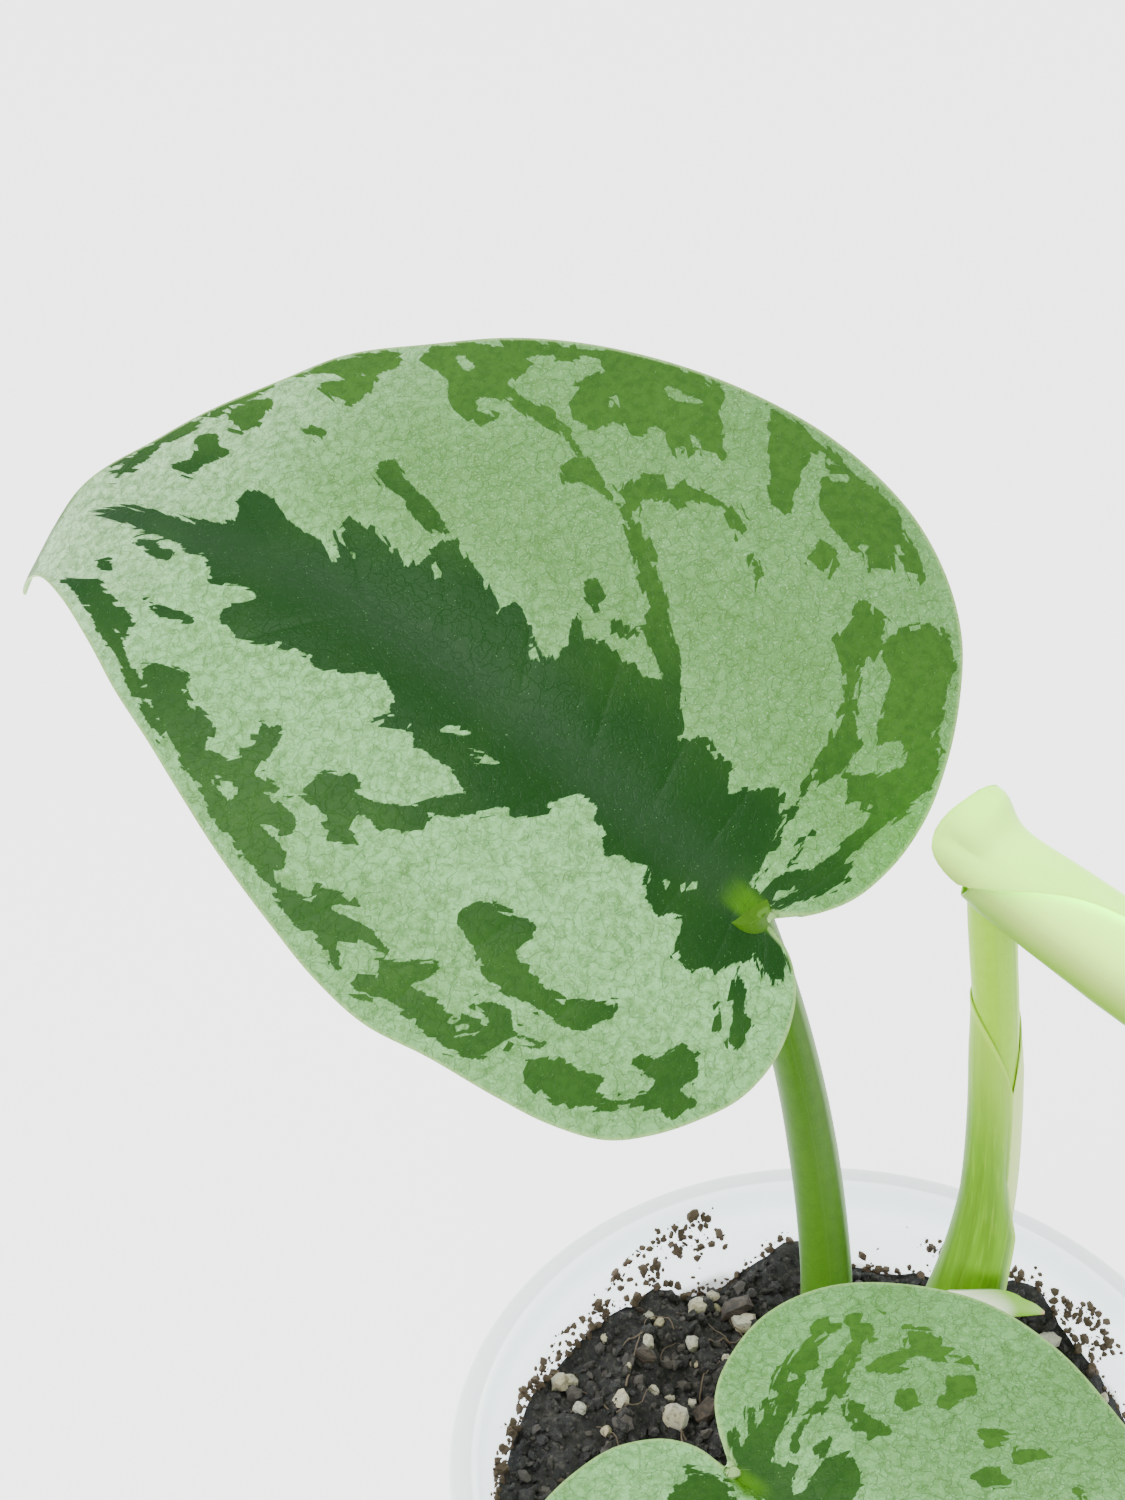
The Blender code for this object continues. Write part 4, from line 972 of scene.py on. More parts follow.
def satin_finish(leaf, name, far_side, far_shade, fresh):
    """The upper side of a satin leaf: silver splashes on green, with jagged borders that follow the veins.

    far_side is 1 where the half to the right of the midrib is the shaded one, and -1 where it is the left half.
    far_shade is how far painted shade greens the silver on that half, and fresh is how much lighter the green is all
    over.
    """
    finish = Finish(name)
    dark = torn_border(finish).fall(0.08 * MM, 0.2 * MM)
    seen = satin_patterns(finish)
    # Painted light and shade: far is 1 on the shaded half of the blade
    far = (finish.attribute("side") * far_side).rise(-3 * MM, 16 * MM)
    silver = silver_shade(finish, leaf, seen, far, far_shade)
    green = green_shade(finish, leaf, seen, far, fresh)
    shown = finish.mix(dark, silver, green)
    at_sinus = seen.to_sinus.fall(2.4 * MM, 6.0 * MM) * seen.out.fall(1.2 * MM, 2.8 * MM)
    shown = finish.mix(at_sinus, shown, leaf.sinus)
    shown = finish.mix(finish.attribute("margin").fall(0.1 * MM, 0.5 * MM) * 0.8, shown, leaf.rim_colour)
    shown = finish.mix(seen.to_sinus.rise(96.5 * MM, 98.5 * MM) * 0.85, shown, leaf.bright)
    crumpled = seen.glitter_and_speckle * 0.2 + seen.crinkles * 1.2 + seen.creases * -0.35
    relief = crumpled * (1.0 - dark * 0.65) + seen.vein_line * -0.12
    finish.set(base_color=shown, roughness=0.46 - dark * 0.04, normal=finish.bump(relief, 0.3 * MM, 0.8))
    finish.constant("Specular IOR Level", 0.14)
    return finish


def underside_finish(leaf, name):
    """The pale underside of a satin leaf, on which the midrib and a net of veins stand out."""
    finish = Finish(name)
    vein_line = vein_distance(finish).fall(0.1 * MM, 0.6 * MM)
    midrib = finish.attribute("out").fall(0.8 * MM, 2.0 * MM)
    meshes = finish.net(finish.vector_attribute("veins"), 2.3 * MM).fall(0.0, 0.12)
    cloudy = finish.grain(finish.place(), 7 * MM, 3.0)
    shown = finish.mix(cloudy * 0.5, leaf.underside, leaf.silver_green)
    shown = finish.mix(finish.attribute("mark").fall(-1.2 * MM, 1.2 * MM) * 0.35, shown, leaf.bright)
    shown = finish.mix(meshes * 0.25 + vein_line * 0.35, shown, leaf.silver)
    shown = finish.mix(midrib, shown, leaf.rim_colour)
    relief = meshes * 0.5 + vein_line + midrib
    finish.set(base_color=shown, roughness=0.6, normal=finish.bump(relief, 0.12 * MM, 0.6))
    return finish


def plain_finish(name, shade, roughness, bump_size, bump_height):
    """One colour with soft variation and fine relief."""
    finish = Finish(name)
    place = finish.place()
    cloudy = finish.grain(place, 12 * bump_size, 3.0)
    shown = finish.mix(cloudy.rise(0.3, 0.75), darkened(shade, 0.78), shade)
    finish.set(base_color=shown, roughness=roughness,
               normal=finish.bump(finish.grain(place, bump_size, 3.0), bump_height, 0.6))
    return finish


def build_leaf(name, node, outline, pose, marks, shading, seed):
    """One open leaf, with its markings matched to the photograph."""
    leaf = chosen("leaf")
    right, left, tip = outline
    grid = flat_blade(right, left, tip, leaf.rows, leaf.columns)
    across, out = vein_grid(grid)
    margin = margin_distance(grid)
    surface = bent_blade(grid, pose, blade_relief(across, out, margin, leaf, seed))
    plain = bent_blade(grid, pose, 0.0)
    rib = RIB_HEIGHT * np.exp(-((out / RIB_WIDTH) ** 2)) * np.linspace(1, 0.1, len(grid))[:, None]
    thickness = leaf.rim + (leaf.thickness - leaf.rim) * np.clip(margin / MARGIN_TAPER, 0, 1) + rib
    surface = surface - sheet_normals(surface) * (rib / 2)[..., None]
    attributes = {
        "mark": marking(plain, *marks),
        "veins": np.stack([across, out, np.full_like(out, seed * 0.05)], axis=2),
        "across": across,
        "out": out,
        "side": out * np.sign(grid[..., 1] - grid[:, leaf.columns, 1][:, None]),
        "margin": margin,
        "to_sinus": np.linalg.norm(grid - grid[0, 0], axis=2),
    }
    finishes = [
        satin_finish(leaf, name + "_satin", *shading),
        underside_finish(leaf, name + "_underside"),
        plain_finish(name + "_rim", leaf.rim_colour, 0.5, 0.6 * MM, 0.02 * MM),
    ]
    settle(thin_sheet(name, surface, thickness, finishes, attributes), "satin_leaf", node)


def stalk_finish(name, base, stripe, depth):
    """A waxy stalk with fine lines along it. Its stripe runs along one margin of its channel."""
    finish = Finish(name)
    around = finish.attribute("around")
    along = finish.attribute("along")
    lines_at = finish.flat_place(around * 0.02, along * (10 * MM))
    lines = finish.grain(lines_at, 0.35 * MM, 3.0)
    broad = finish.grain(lines_at, 1.4 * MM, 2.0)
    streaked = broad.rise(0.3, 0.7) * 0.6 + lines.rise(0.35, 0.7) * 0.4
    shown = finish.mix(streaked, darkened(base, depth), base)
    at_stripe = (around - 0.3).math("ABSOLUTE").fall(0.02, 0.045)
    at_line = (around - 0.352).math("ABSOLUTE").fall(0.006, 0.02)
    shown = finish.mix(at_stripe * 0.75, shown, stripe)
    shown = finish.mix(at_line * 0.35, shown, darkened(base, 0.5))
    finish.set(base_color=shown, roughness=0.42, normal=finish.bump(lines, 0.05 * MM, 0.5))
    finish.constant("Specular IOR Level", 0.18)
    return finish


def build_stalk(name, node, places, radii, finish, slot):
    stalk = chosen("stalk")
    path = smooth_curve(np.array(places) * MM, stalk.steps)
    sizes = spread(radii, stalk.steps)
    rings, turn = stalk_rings(path, sizes, stalk.sides, STALK_CHANNEL)
    around = np.broadcast_to(((turn / (2 * math.pi) + 0.5) % 1.0 - 0.5)[None, :], rings.shape[:2])
    along = np.broadcast_to(np.linspace(0, 1, stalk.steps)[:, None] * LINES_ALONG, rings.shape[:2])
    settle(round_body(name, rings, finish, {"around": around, "along": along}), slot, node)


def build_vine():
    """The short vine, with a raised ring and a scar at each place where a leaf grew."""
    stalk = chosen("stalk")
    steps = stalk.steps
    path = smooth_curve(np.array(VINE_PATH) * MM, steps)
    share = np.linspace(0, 1, steps)
    radii = np.full(steps, stalk.vine_radius)
    for scar in VINE_SCARS:
        radii += 0.5 * MM * np.exp(-(((share - scar) / 0.03) ** 2))
        radii -= 0.25 * MM * np.exp(-(((share - scar - 0.03) / 0.012) ** 2))
    radii -= 0.9 * MM * np.clip((share - 0.8) / 0.2, 0, 1)
    rings, turn = stalk_rings(path, radii, stalk.sides, 0.0)
    around = np.broadcast_to((turn / (2 * math.pi) - 0.5)[None, :], rings.shape[:2])
    along = np.broadcast_to(share[:, None] * LINES_ALONG, rings.shape[:2])
    finish = stalk_finish("vine_green", stalk.green, stalk.green, 0.62)
    settle(round_body("vine", rings, finish, {"around": around, "along": along}), "stalk_green", "stem")


def along_new_stalk(share):
    """Places on the new stalk's path at shares of its length."""
    path = smooth_curve(np.array(NEW_STALK_PATH) * MM, 400)
    shares = np.linspace(0, 1, 400)
    return np.stack([np.interp(share, shares, path[:, axis]) for axis in range(3)], axis=-1)


def sheath_surface(rows, columns):
    """Rows go up the stalk, and columns go round it from the inner margin to the outer."""
    up = np.linspace(0, 1, rows + 1)[:, None]
    across = np.linspace(-1, 1, columns + 1)[None, :]
    top = SHEATH_SPAN[1] - SHEATH_MOUTH * np.abs(across) ** 3
    share = SHEATH_SPAN[0] + (top - SHEATH_SPAN[0]) * up
    overlap = np.clip((across - 0.6) / 0.3, 0, 1)
    radii = np.interp(share, np.linspace(*SHEATH_SPAN, len(SHEATH_RADII)), SHEATH_RADII) * MM
    radii = radii + SHEATH_OVERLAP * overlap * np.clip(2.2 - 2.6 * up, 0, 1)
    hugged = np.interp(share, np.linspace(0, 1, len(NEW_STALK_RADII)), NEW_STALK_RADII) * MM + SHEATH_CLEARANCE
    inner_hug = np.interp(-across, (0.5, 0.85), (0, 1)) * np.interp(up, (0.05, 0.25), (0, 1))
    outer_hug = np.interp(across, (0.5, 0.9), (0, 1)) * np.interp(up, (0.42, 0.6), (0, 1))
    top_hug = np.interp(up, (0.8, 1.0), (0, 1))
    hug = np.maximum(np.maximum(inner_hug, outer_hug), top_hug)
    radii = radii + np.minimum(hugged - radii, 0) * hug
    wrap = np.interp(share, SHEATH_SPAN, SHEATH_WRAP)
    turn = np.radians(SHEATH_OPENING + 180 + 0.5 * wrap * across)
    ring = np.stack([np.cos(turn), np.sin(turn), np.zeros_like(turn)], axis=-1)
    return along_new_stalk(share) + radii[..., None] * ring


def sheath_finish():
    """Green with fine lines along it, and paler towards its mouth and its two margins."""
    stalk = chosen("stalk")
    finish = Finish("sheath_green")
    side = finish.attribute("side")
    height = finish.attribute("height")
    lines_at = finish.flat_place(side * (20 * MM), height * (4 * MM))
    lines = finish.grain(lines_at, 0.5 * MM, 3.0)
    broad = finish.grain(lines_at, 2.2 * MM, 2.0)
    base = finish.mix(broad.rise(0.35, 0.65) * 0.7, stalk.sheath, darkened(stalk.sheath, 0.62))
    base = finish.mix(height.rise(0.55, 1.0) * 0.55, base, stalk.margin)
    base = finish.mix(lines.rise(0.5, 0.7) * 0.2, base, stalk.margin)
    base = finish.mix(side.fall(-0.85, -0.6) * 0.9, base, stalk.pale)
    base = finish.mix(side.rise(0.93, 0.98) * 0.5, base, stalk.margin)
    base = finish.mix(height.rise(0.96, 0.985) * 0.6, base, stalk.margin)
    finish.set(base_color=base, roughness=0.42, normal=finish.bump(lines, 0.06 * MM, 0.6))
    finish.constant("Specular IOR Level", 0.15)
    return finish


def grid_shares(surface):
    """Where each place of a grid lies: -1 to 1 from side to side, and 0 to 1 from its first row to its last."""
    rows, columns = surface.shape[:2]
    side = np.broadcast_to(np.linspace(-1, 1, columns)[None, :], (rows, columns))
    height = np.broadcast_to(np.linspace(0, 1, rows)[:, None], (rows, columns))
    return {"side": side, "height": height}


def build_sheath():
    """The sheath, thinned towards its two margins and its mouth."""
    surface = sheath_surface(*SHEATH_STEPS)
    shares = grid_shares(surface)
    from_side, from_top = 1 - np.abs(shares["side"]), 1 - shares["height"]
    thin = np.clip(from_side / 0.15, 0.3, 1) * np.clip(from_top / 0.15, 0.3, 1)
    piece = thin_sheet("sheath_sheet", surface, SHEATH_THICKNESS * thin, [sheath_finish()] * 3, shares)
    settle(piece, "stalk_green", "new_leaf_sheath")


def bract_surface(rows, columns):
    """A boat-shaped scale: rows go along it to its point, and columns go across it."""
    path = smooth_curve(np.array(BRACT_PATH) * MM, rows + 1)
    tangents = rows_of_units(np.gradient(path, axis=0))
    side = rows_of_units(np.cross(tangents, BRACT_UNDERSIDE))
    below = np.cross(side, tangents)
    below *= np.sign(below @ np.array(BRACT_UNDERSIDE))[:, None]
    bend = np.radians(np.linspace(-BRACT_BEND, BRACT_BEND, 2 * columns + 1))[None, :, None]
    widths = spread(BRACT_HALF_WIDTHS, rows + 1)[:, None, None]
    across = np.sin(bend) * side[:, None, :]
    return path[:, None, :] + widths * (across + (np.cos(bend) - 1) * below[:, None, :])


def bract_finish(stalk):
    """A pale scale with fine lines along it, a green end and a dry tip."""
    finish = Finish("bract_scale")
    along = finish.attribute("height")
    side = finish.attribute("side")
    lines = finish.grain(finish.flat_place(side * (9 * MM), along * (3 * MM)), 0.5 * MM, 3.0)
    shown = finish.mix(lines.rise(0.4, 0.7) * 0.2, stalk.bract, stalk.margin)
    shown = finish.mix((along + side * side * 0.12).rise(0.62, 0.78), shown, stalk.bract_green)
    shown = finish.mix(along.rise(0.93, 0.98), shown, stalk.tip)
    finish.set(base_color=shown, roughness=0.45, normal=finish.bump(lines, 0.05 * MM, 0.5))
    return finish


def build_bract():
    surface = bract_surface(*BRACT_STEPS)
    thickness = np.full(surface.shape[:2], BRACT_THICKNESS)
    finish = bract_finish(chosen("stalk"))
    piece = thin_sheet("bract_sheet", surface, thickness, [finish] * 3, grid_shares(surface))
    settle(piece, "young_green", "bract")


def roll_up(grid):
    """Rolls a flat blade round an axis, as a spiral from its left edge, with the midrib along one side."""
    x, y = grid[..., 0], grid[..., 1]
    inner_edge = np.array([*ROLLED_INNER_EDGE, ROLLED_TIP], float) * MM
    half_width = np.interp(x, inner_edge[:, 0], -inner_edge[:, 1])
    core = np.interp(x, *(np.array(ROLL_CORE).T * MM))
    reach = np.clip(y + half_width, 0, None)
    radius = np.sqrt(core**2 + reach * ROLL_PITCH / math.pi)
    midrib_radius = np.sqrt(core**2 + half_width * ROLL_PITCH / math.pi)
    turn = 2 * math.pi * (radius - midrib_radius) / ROLL_PITCH
    back = np.exp(-((np.clip(x - ROLL_FLARE_END, 0, None) / ROLL_FLARE_LENGTH) ** 2))
    top = np.clip(np.cos(turn - math.radians(ROLL_FLARE_TURN)), 0, None) * (y > 0)
    radius = radius + ROLL_FLARE * back * top
    along = unit(ROLL_ALONG)
    side = squared_to(ROLL_MIDRIB_SIDE, along)
    over = np.cross(along, side)
    run, drop, _ = arched(x, ROLLED_TIP[0] * MM, ROLL_ARCH, 0)
    return (
        np.array(ROLL_PLACE) * MM
        + run[..., None] * along
        + (radius * np.cos(turn) - drop)[..., None] * side
        + (radius * np.sin(turn))[..., None] * over
    )


def roll_finish(roll, name, shade):
    """Pale young leaf with faint veins and a deeper margin, painted shade where it faces down and a painted glow
    where it faces up.
    """
    finish = Finish(name)
    veins = finish.vector_attribute("veins")
    margin = finish.attribute("margin")
    place = finish.place()
    cloudy = finish.grain(place, 6 * MM, 3.0)
    streaks = finish.grain(finish.stretch(veins, (1.0, 0.12, 1.0)), 1.1 * MM, 3.0)
    shown = finish.mix(margin.fall(1.0 * MM, 9 * MM) * 0.45 + (cloudy - 0.5) * 0.4, shade, roll.deep)
    shown = finish.mix(streaks.rise(0.5, 0.75) * 0.22, shown, roll.deep)
    shown = finish.mix(margin.fall(0.1 * MM, 0.35 * MM) * 0.3, shown, darkened(roll.deep, 0.7))
    # Painted light: the side that faces down is painted shaded green, and the side that faces up gives off a painted
    # glow
    lift = finish.attribute("lift")
    shown = finish.mix(lift.fall(-0.5, 0.95) * 0.95, shown, roll.shaded)
    glow = finish.mix(lift.rise(0.1, 0.98), (0.0, 0.0, 0.0), roll.glow)
    finish.set(base_color=shown, roughness=0.4, normal=finish.bump(streaks, 0.05 * MM, 0.5),
               emission_color=glow, emission_strength=2.4)
    finish.constant("Specular IOR Level", 0.2)
    return finish


def build_roll():
    roll = chosen("roll")
    grid = flat_blade(ROLLED_RIGHT_EDGE, ROLLED_LEFT_EDGE, ROLLED_TIP, roll.rows, roll.columns)
    across, out = vein_grid(grid)
    margin = margin_distance(grid)
    thickness = roll.thickness * np.clip(margin / (2 * MM), 0.45, 1)
    outside = roll_finish(roll, "rolled_outside", roll.pale)
    inside = roll_finish(roll, "rolled_inside", roll.inner)
    surface = roll_up(grid)
    attributes = {
        "veins": np.stack([across, out, np.zeros_like(out)], axis=2),
        "margin": margin,
        # how far each place faces up, which sets the painted shade and glow
        "lift": sheet_normals(surface)[..., 2],
    }
    piece = thin_sheet("rolled_sheet", surface, thickness, [outside, inside, outside], attributes)
    settle(piece, "young_green", "rolled_leaf")


def outer_wall(height):
    """The radius of the pot's outer face at a height."""
    pot = chosen("pot")
    slope = (pot.rim_radius - pot.rim_width - pot.foot_radius) / pot.height
    return pot.foot_radius + slope * height


def inner_wall(height):
    return outer_wall(height) - chosen("pot").wall


def arc(centre, radius, start, end, steps):
    """Places (radius, height) on an arc, from one angle to another in degrees."""
    turns = np.radians(np.linspace(start, end, steps))
    return [(centre[0] + radius * math.cos(t), centre[1] + radius * math.sin(t)) for t in turns]


def pot_profile(pot):
    """The pot's section from the middle of its underside, out and up, over the rim and down to its floor."""
    foot, lip, neck, edge, corner = 1.2 * MM, 1.1 * MM, 0.6 * MM, 0.4 * MM, 1.2 * MM
    low = 3 * MM
    skirt = pot.height - pot.rim_depth
    top = pot.height - lip
    profile = [(pot.foot_radius * share, 0.0) for share in (0.0, 0.25, 0.5, 0.75)]
    profile += arc((pot.foot_radius - foot, foot), foot, -90, 0, 6)
    profile += [(outer_wall(z), z) for z in np.linspace(2 * foot, skirt - edge, 16)]
    profile += arc((outer_wall(skirt) + neck, skirt - edge), neck, 180, 90, 4)
    profile += arc((pot.rim_radius - edge, skirt + edge), edge, -90, 0, 4)
    profile += arc((pot.rim_radius - lip, top), lip, 0, 90, 7)
    profile += arc((inner_wall(pot.height) + lip, top), lip, 90, 180, 7)
    profile += [(inner_wall(z), z) for z in np.linspace(top - neck, low, 24)]
    profile += arc((inner_wall(low) - corner, pot.floor + corner), corner, 0, -90, 5)
    profile += [(pot.foot_radius * share, pot.floor) for share in (0.75, 0.5, 0.25, 0.0)]
    return profile


def turned(name, profile, sides, finish):
    """A solid of revolution about Z from a section whose two ends lie on the axis."""
    turn = np.linspace(0, 2 * math.pi, sides, endpoint=False)
    ring = np.stack([np.cos(turn), np.sin(turn)], axis=1)
    radii = np.array([place[0] for place in profile[1:-1]])
    heights = np.array([place[1] for place in profile[1:-1]])
    points = np.concatenate(
        [ring[None, :, :] * radii[:, None, None], np.broadcast_to(heights[:, None, None], (len(radii), sides, 1))],
        axis=2,
    ).reshape(-1, 3)
    index = np.arange(len(points)).reshape(len(radii), sides)
    closed = closed_rings(index)
    faces = quads_of(closed[:-1], closed[1:])[:, ::-1].tolist()
    low, high = len(points), len(points) + 1
    points = np.concatenate([points, [(0, 0, profile[0][1]), (0, 0, profile[-1][1])]])
    for i in range(sides):
        faces.append([low, closed[0, i + 1], closed[0, i]])
        faces.append([high, closed[-1, i], closed[-1, i + 1]])
    faces = [[int(number) for number in face] for face in faces]
    return add_piece(name, points, faces, [finish], sharp=40)


def cut_drains(shell, pot):
    """Cuts the round drain holes through the pot's floor."""
    cutters = bpy.data.collections.new("drains")
    for hole in range(pot.drains):
        turn = 2 * math.pi * (hole + 0.5) / pot.drains
        body = bmesh.new()
        bmesh.ops.create_cone(body, cap_ends=True, segments=32, radius1=pot.drain_radius,
                              radius2=pot.drain_radius, depth=8 * pot.floor)
        mesh = bpy.data.meshes.new("drain")
        body.to_mesh(mesh)
        body.free()
        cutter = bpy.data.objects.new("drain", mesh)
        cutter.location = (pot.drain_circle * math.cos(turn), pot.drain_circle * math.sin(turn), 0)
        cutters.objects.link(cutter)
    modifier = shell.modifiers.new("drains", "BOOLEAN")
    modifier.operand_type = "COLLECTION"
    modifier.collection = cutters
    bpy.context.view_layer.update()
    graph = bpy.context.evaluated_depsgraph_get()
    mesh = bpy.data.meshes.new_from_object(shell.evaluated_get(graph))
    shell.modifiers.clear()
    shell.data = mesh
    for cutter in list(cutters.objects):
        bpy.data.objects.remove(cutter, do_unlink=True)
    bpy.data.collections.remove(cutters)


def pot_finish(pot, level):
    """Thin milky plastic: clear above the mix, with a painted glow there, and painted darker by the dark mix behind
    it below that.
    """
    finish = Finish("milky_plastic")
    place = finish.place()
    height = finish.node("ShaderNodeSeparateXYZ", None, {0: place}, output=2)
    radius = finish.node("ShaderNodeVectorMath", {"operation": "LENGTH"},
                         {0: finish.stretch(place, (1.0, 1.0, 0.0))}, output="Value")
    waves = finish.grain(finish.stretch(place, (1.0, 1.0, 0.5)), 7 * MM, 3.0)
    speckle = finish.grain(place, 1.6 * MM, 4.0, 0.65)
    blots = finish.grain(place, 4.5 * MM, 3.0)
    # Painted shade: below the mix level the plastic is painted with the dark mix behind it, in blots where the mix
    # touches the wall
    below = (height + (waves - 0.5) * (7 * MM)).fall(level - 1.5 * MM, level + 0.8 * MM)
    touching = blots.rise(0.40, 0.62) * 0.6 + speckle.rise(0.38, 0.6) * 0.4
    outside = (radius - (pot.foot_radius - 0.4 * MM) - height * WALL_SLOPE).rise(0.0, 0.3 * MM)
    shown = finish.mix(below * (0.78 + touching * 0.22) * outside, pot.plastic, pot.shade)
    # Painted glow: the plastic gives off light above the mix, none below it, and half as much on the rim's outer
    # face
    rim = height.rise(pot.height - pot.rim_depth, pot.height - pot.rim_depth + 1 * MM) * outside
    through = finish.mix(below + rim * 0.5, pot.glow, (0.0, 0.0, 0.0))
    finish.set(base_color=shown, roughness=0.24, normal=finish.bump(waves, 0.25 * MM, 0.35),
               emission_color=through, emission_strength=pot.painted_glow_strength)
    finish.constant("Subsurface Weight", 0.9)
    finish.constant("Subsurface Radius", (1.0, 1.0, 1.0))
    finish.constant("Subsurface Scale", 4 * MM)
    return finish


def build_pot():
    pot = chosen("pot")
    shell = turned("pot_shell", pot_profile(pot), pot.sides, pot_finish(pot, chosen("mix").level))
    cut_drains(shell, pot)
    settle(shell, "milky_plastic", "pot")


def edge_height(turn):
    """Height of the mix at the wall, at a turn in degrees from +X."""
    degrees, heights = zip(*MIX_EDGE)
    return float(np.interp(turn, degrees, heights, period=360)) * MM


def mix_height(x, y):
    """Height of the mix's surface above the table."""
    mix = chosen("mix")
    spot = Vector((x, y, 0)) / mix.lump_size
    lumps = noise.noise(spot) + 0.5 * noise.noise(spot * 2.7) + 0.45 * noise.noise(spot * 6)
    reach = min(1.0, math.hypot(x, y) / inner_wall(mix.level))
    edge = edge_height(math.degrees(math.atan2(y, x)))
    near_wall = max(0.0, (reach - 0.55) / 0.45) ** 2
    return mix.level + (edge - mix.level) * near_wall + mix.lump * lumps * (1 - 0.6 * near_wall)


def peat_finish(mix):
    finish = Finish("peat")
    place = finish.place()
    fine = finish.grain(place, 0.7 * MM, 5.0, 0.7)
    broad = finish.grain(place, 4 * MM, 3.0)
    shown = finish.mix(fine.rise(0.48, 0.7) * 0.75 + broad.rise(0.5, 0.8) * 0.25, mix.peat, mix.peat_light)
    shown = finish.mix(finish.attribute("tone").rise(0.55, 1.0) * 0.8, shown, mix.peat_light)
    finish.set(base_color=shown, roughness=0.85, normal=finish.bump(fine, 0.5 * MM, 0.9))
    return finish


def build_mix_body(finish):
    """The mix fills the pot up to a lumpy surface that banks up against the wall."""
    turn = np.linspace(0, 2 * math.pi, MIX_SIDES, endpoint=False)
    points, index = [], []
    for share in np.linspace(0, 1, MIX_RINGS + 1)[1:] ** 0.85:
        row = []
        for angle in turn:
            reach = share * (inner_wall(MIX_REACH_HEIGHT) - MIX_SLACK)
            x, y = reach * math.cos(angle), reach * math.sin(angle)
            z = mix_height(x, y)
            if share == 1:
                x, y = x * (inner_wall(z) - MIX_SLACK) / reach, y * (inner_wall(z) - MIX_SLACK) / reach
            row.append(len(points))
            points.append((x, y, z))
        index.append(row)
    low = chosen("pot").floor + MIX_SLACK
    for z in (40 * MM, low):
        reach = inner_wall(z) - MIX_SLACK
        index.append(list(range(len(points), len(points) + MIX_SIDES)))
        points += [(reach * math.cos(angle), reach * math.sin(angle), z) for angle in turn]
    index = np.array(index)
    closed = closed_rings(index)
    faces = quads_of(closed[:-1], closed[1:]).tolist()
    faces.append(index[-1][::-1].tolist())
    faces.append(index[0].tolist())
    settle(add_piece("potting_mix_body", points, faces, [finish], sharp=180), "potting_mix", "soil")


def rough_ball(subdivisions):
    shell = bmesh.new()
    bmesh.ops.create_icosphere(shell, subdivisions=subdivisions, radius=1)
    points = np.array([vertex.co[:] for vertex in shell.verts])
    faces = np.array([[vertex.index for vertex in face.verts] for face in shell.faces])
    shell.free()
    return points, faces


def lumps(name, places, sizes, finish, subdivisions, roughness, flatness, seed):
    """Many small rough lumps in one piece. sizes are radii, and flatness is how thin the thinnest way is."""
    draw = np.random.default_rng(seed)
    ball, faces = rough_ball(subdivisions)
    all_points, all_faces = [], []
    for number, (place, size) in enumerate(zip(places, sizes)):
        rough = 1 + roughness * draw.uniform(-1, 1, (len(ball), 1))
        shape = ball * rough * np.array((1.0, draw.uniform(0.6, 1.0), draw.uniform(flatness, 1.0)))
        turned_by = np.array(Euler(draw.uniform(0, 2 * math.pi, 3)).to_matrix())
        all_points.append(np.asarray(place) + size * shape @ turned_by.T)
        all_faces.append(faces + number * len(ball))
    points = np.concatenate(all_points)
    tones = {"tone": np.repeat(draw.uniform(0, 1, len(sizes)), len(ball))}
    return add_piece(name, points, np.concatenate(all_faces).tolist(), [finish], None, tones, sharp=35)


def scattered(draw, number, sizes, sink):
    """Random places on the mix with sizes in metres between two. sink is how deep a lump sits, in radii."""
    places, radii = [], []
    for _ in range(number):
        reach = (inner_wall(LOOSE_REACH_HEIGHT) - 1.2 * MM) * math.sqrt(draw.uniform(0, 1))
        turn = draw.uniform(0, 2 * math.pi)
        x, y = reach * math.cos(turn), reach * math.sin(turn)
        radius = sizes[0] + (sizes[1] - sizes[0]) * draw.uniform(0, 1) ** 2
        places.append((x, y, mix_height(x, y) + radius * (0.7 - sink)))
        radii.append(radius)
    return places, radii


def build_crumbs(finish):
    mix = chosen("mix")
    draw = random.Random(3)
    places, sizes = scattered(draw, mix.crumbs, (0.2 * MM, 1.15 * MM), 0.3)
    settle(lumps("peat_crumbs", places, sizes, finish, 2, 0.3, 0.4, 4), "potting_mix")
    places, sizes = scattered(draw, mix.grit, (0.15 * MM, 0.55 * MM), 0.2)
    settle(lumps("peat_grit", places, sizes, finish, 1, 0.45, 0.4, 5), "potting_mix")


def build_wall_crumbs(finish):
    """Crumbs that stick to the inside of the wall: many just above the mix, and patches higher up."""
    draw = random.Random(8)
    spots = []
    for _ in range(EDGE_CRUMBS):
        turn = draw.uniform(0, 360)
        spots.append((turn, edge_height(turn) + draw.expovariate(1.0) * 0.8 * MM))
    for turn, height in WALL_PATCHES * PATCH_CRUMBS:
        spots.append((draw.gauss(turn, 1.9), height * MM + draw.gauss(0, 0.8) * MM))
    places, sizes = [], []
    for turn, height in spots:
        height = min(height, CRUMB_CEILING)
        radius = (0.1 + 0.65 * draw.uniform(0, 1) ** 2) * MM
        reach = inner_wall(height) - 0.4 * radius
        angle = math.radians(turn)
        places.append((reach * math.cos(angle), reach * math.sin(angle), height))
        sizes.append(radius)
    settle(lumps("wall_crumbs", places, sizes, finish, 1, 0.35, 0.35, 9), "potting_mix")


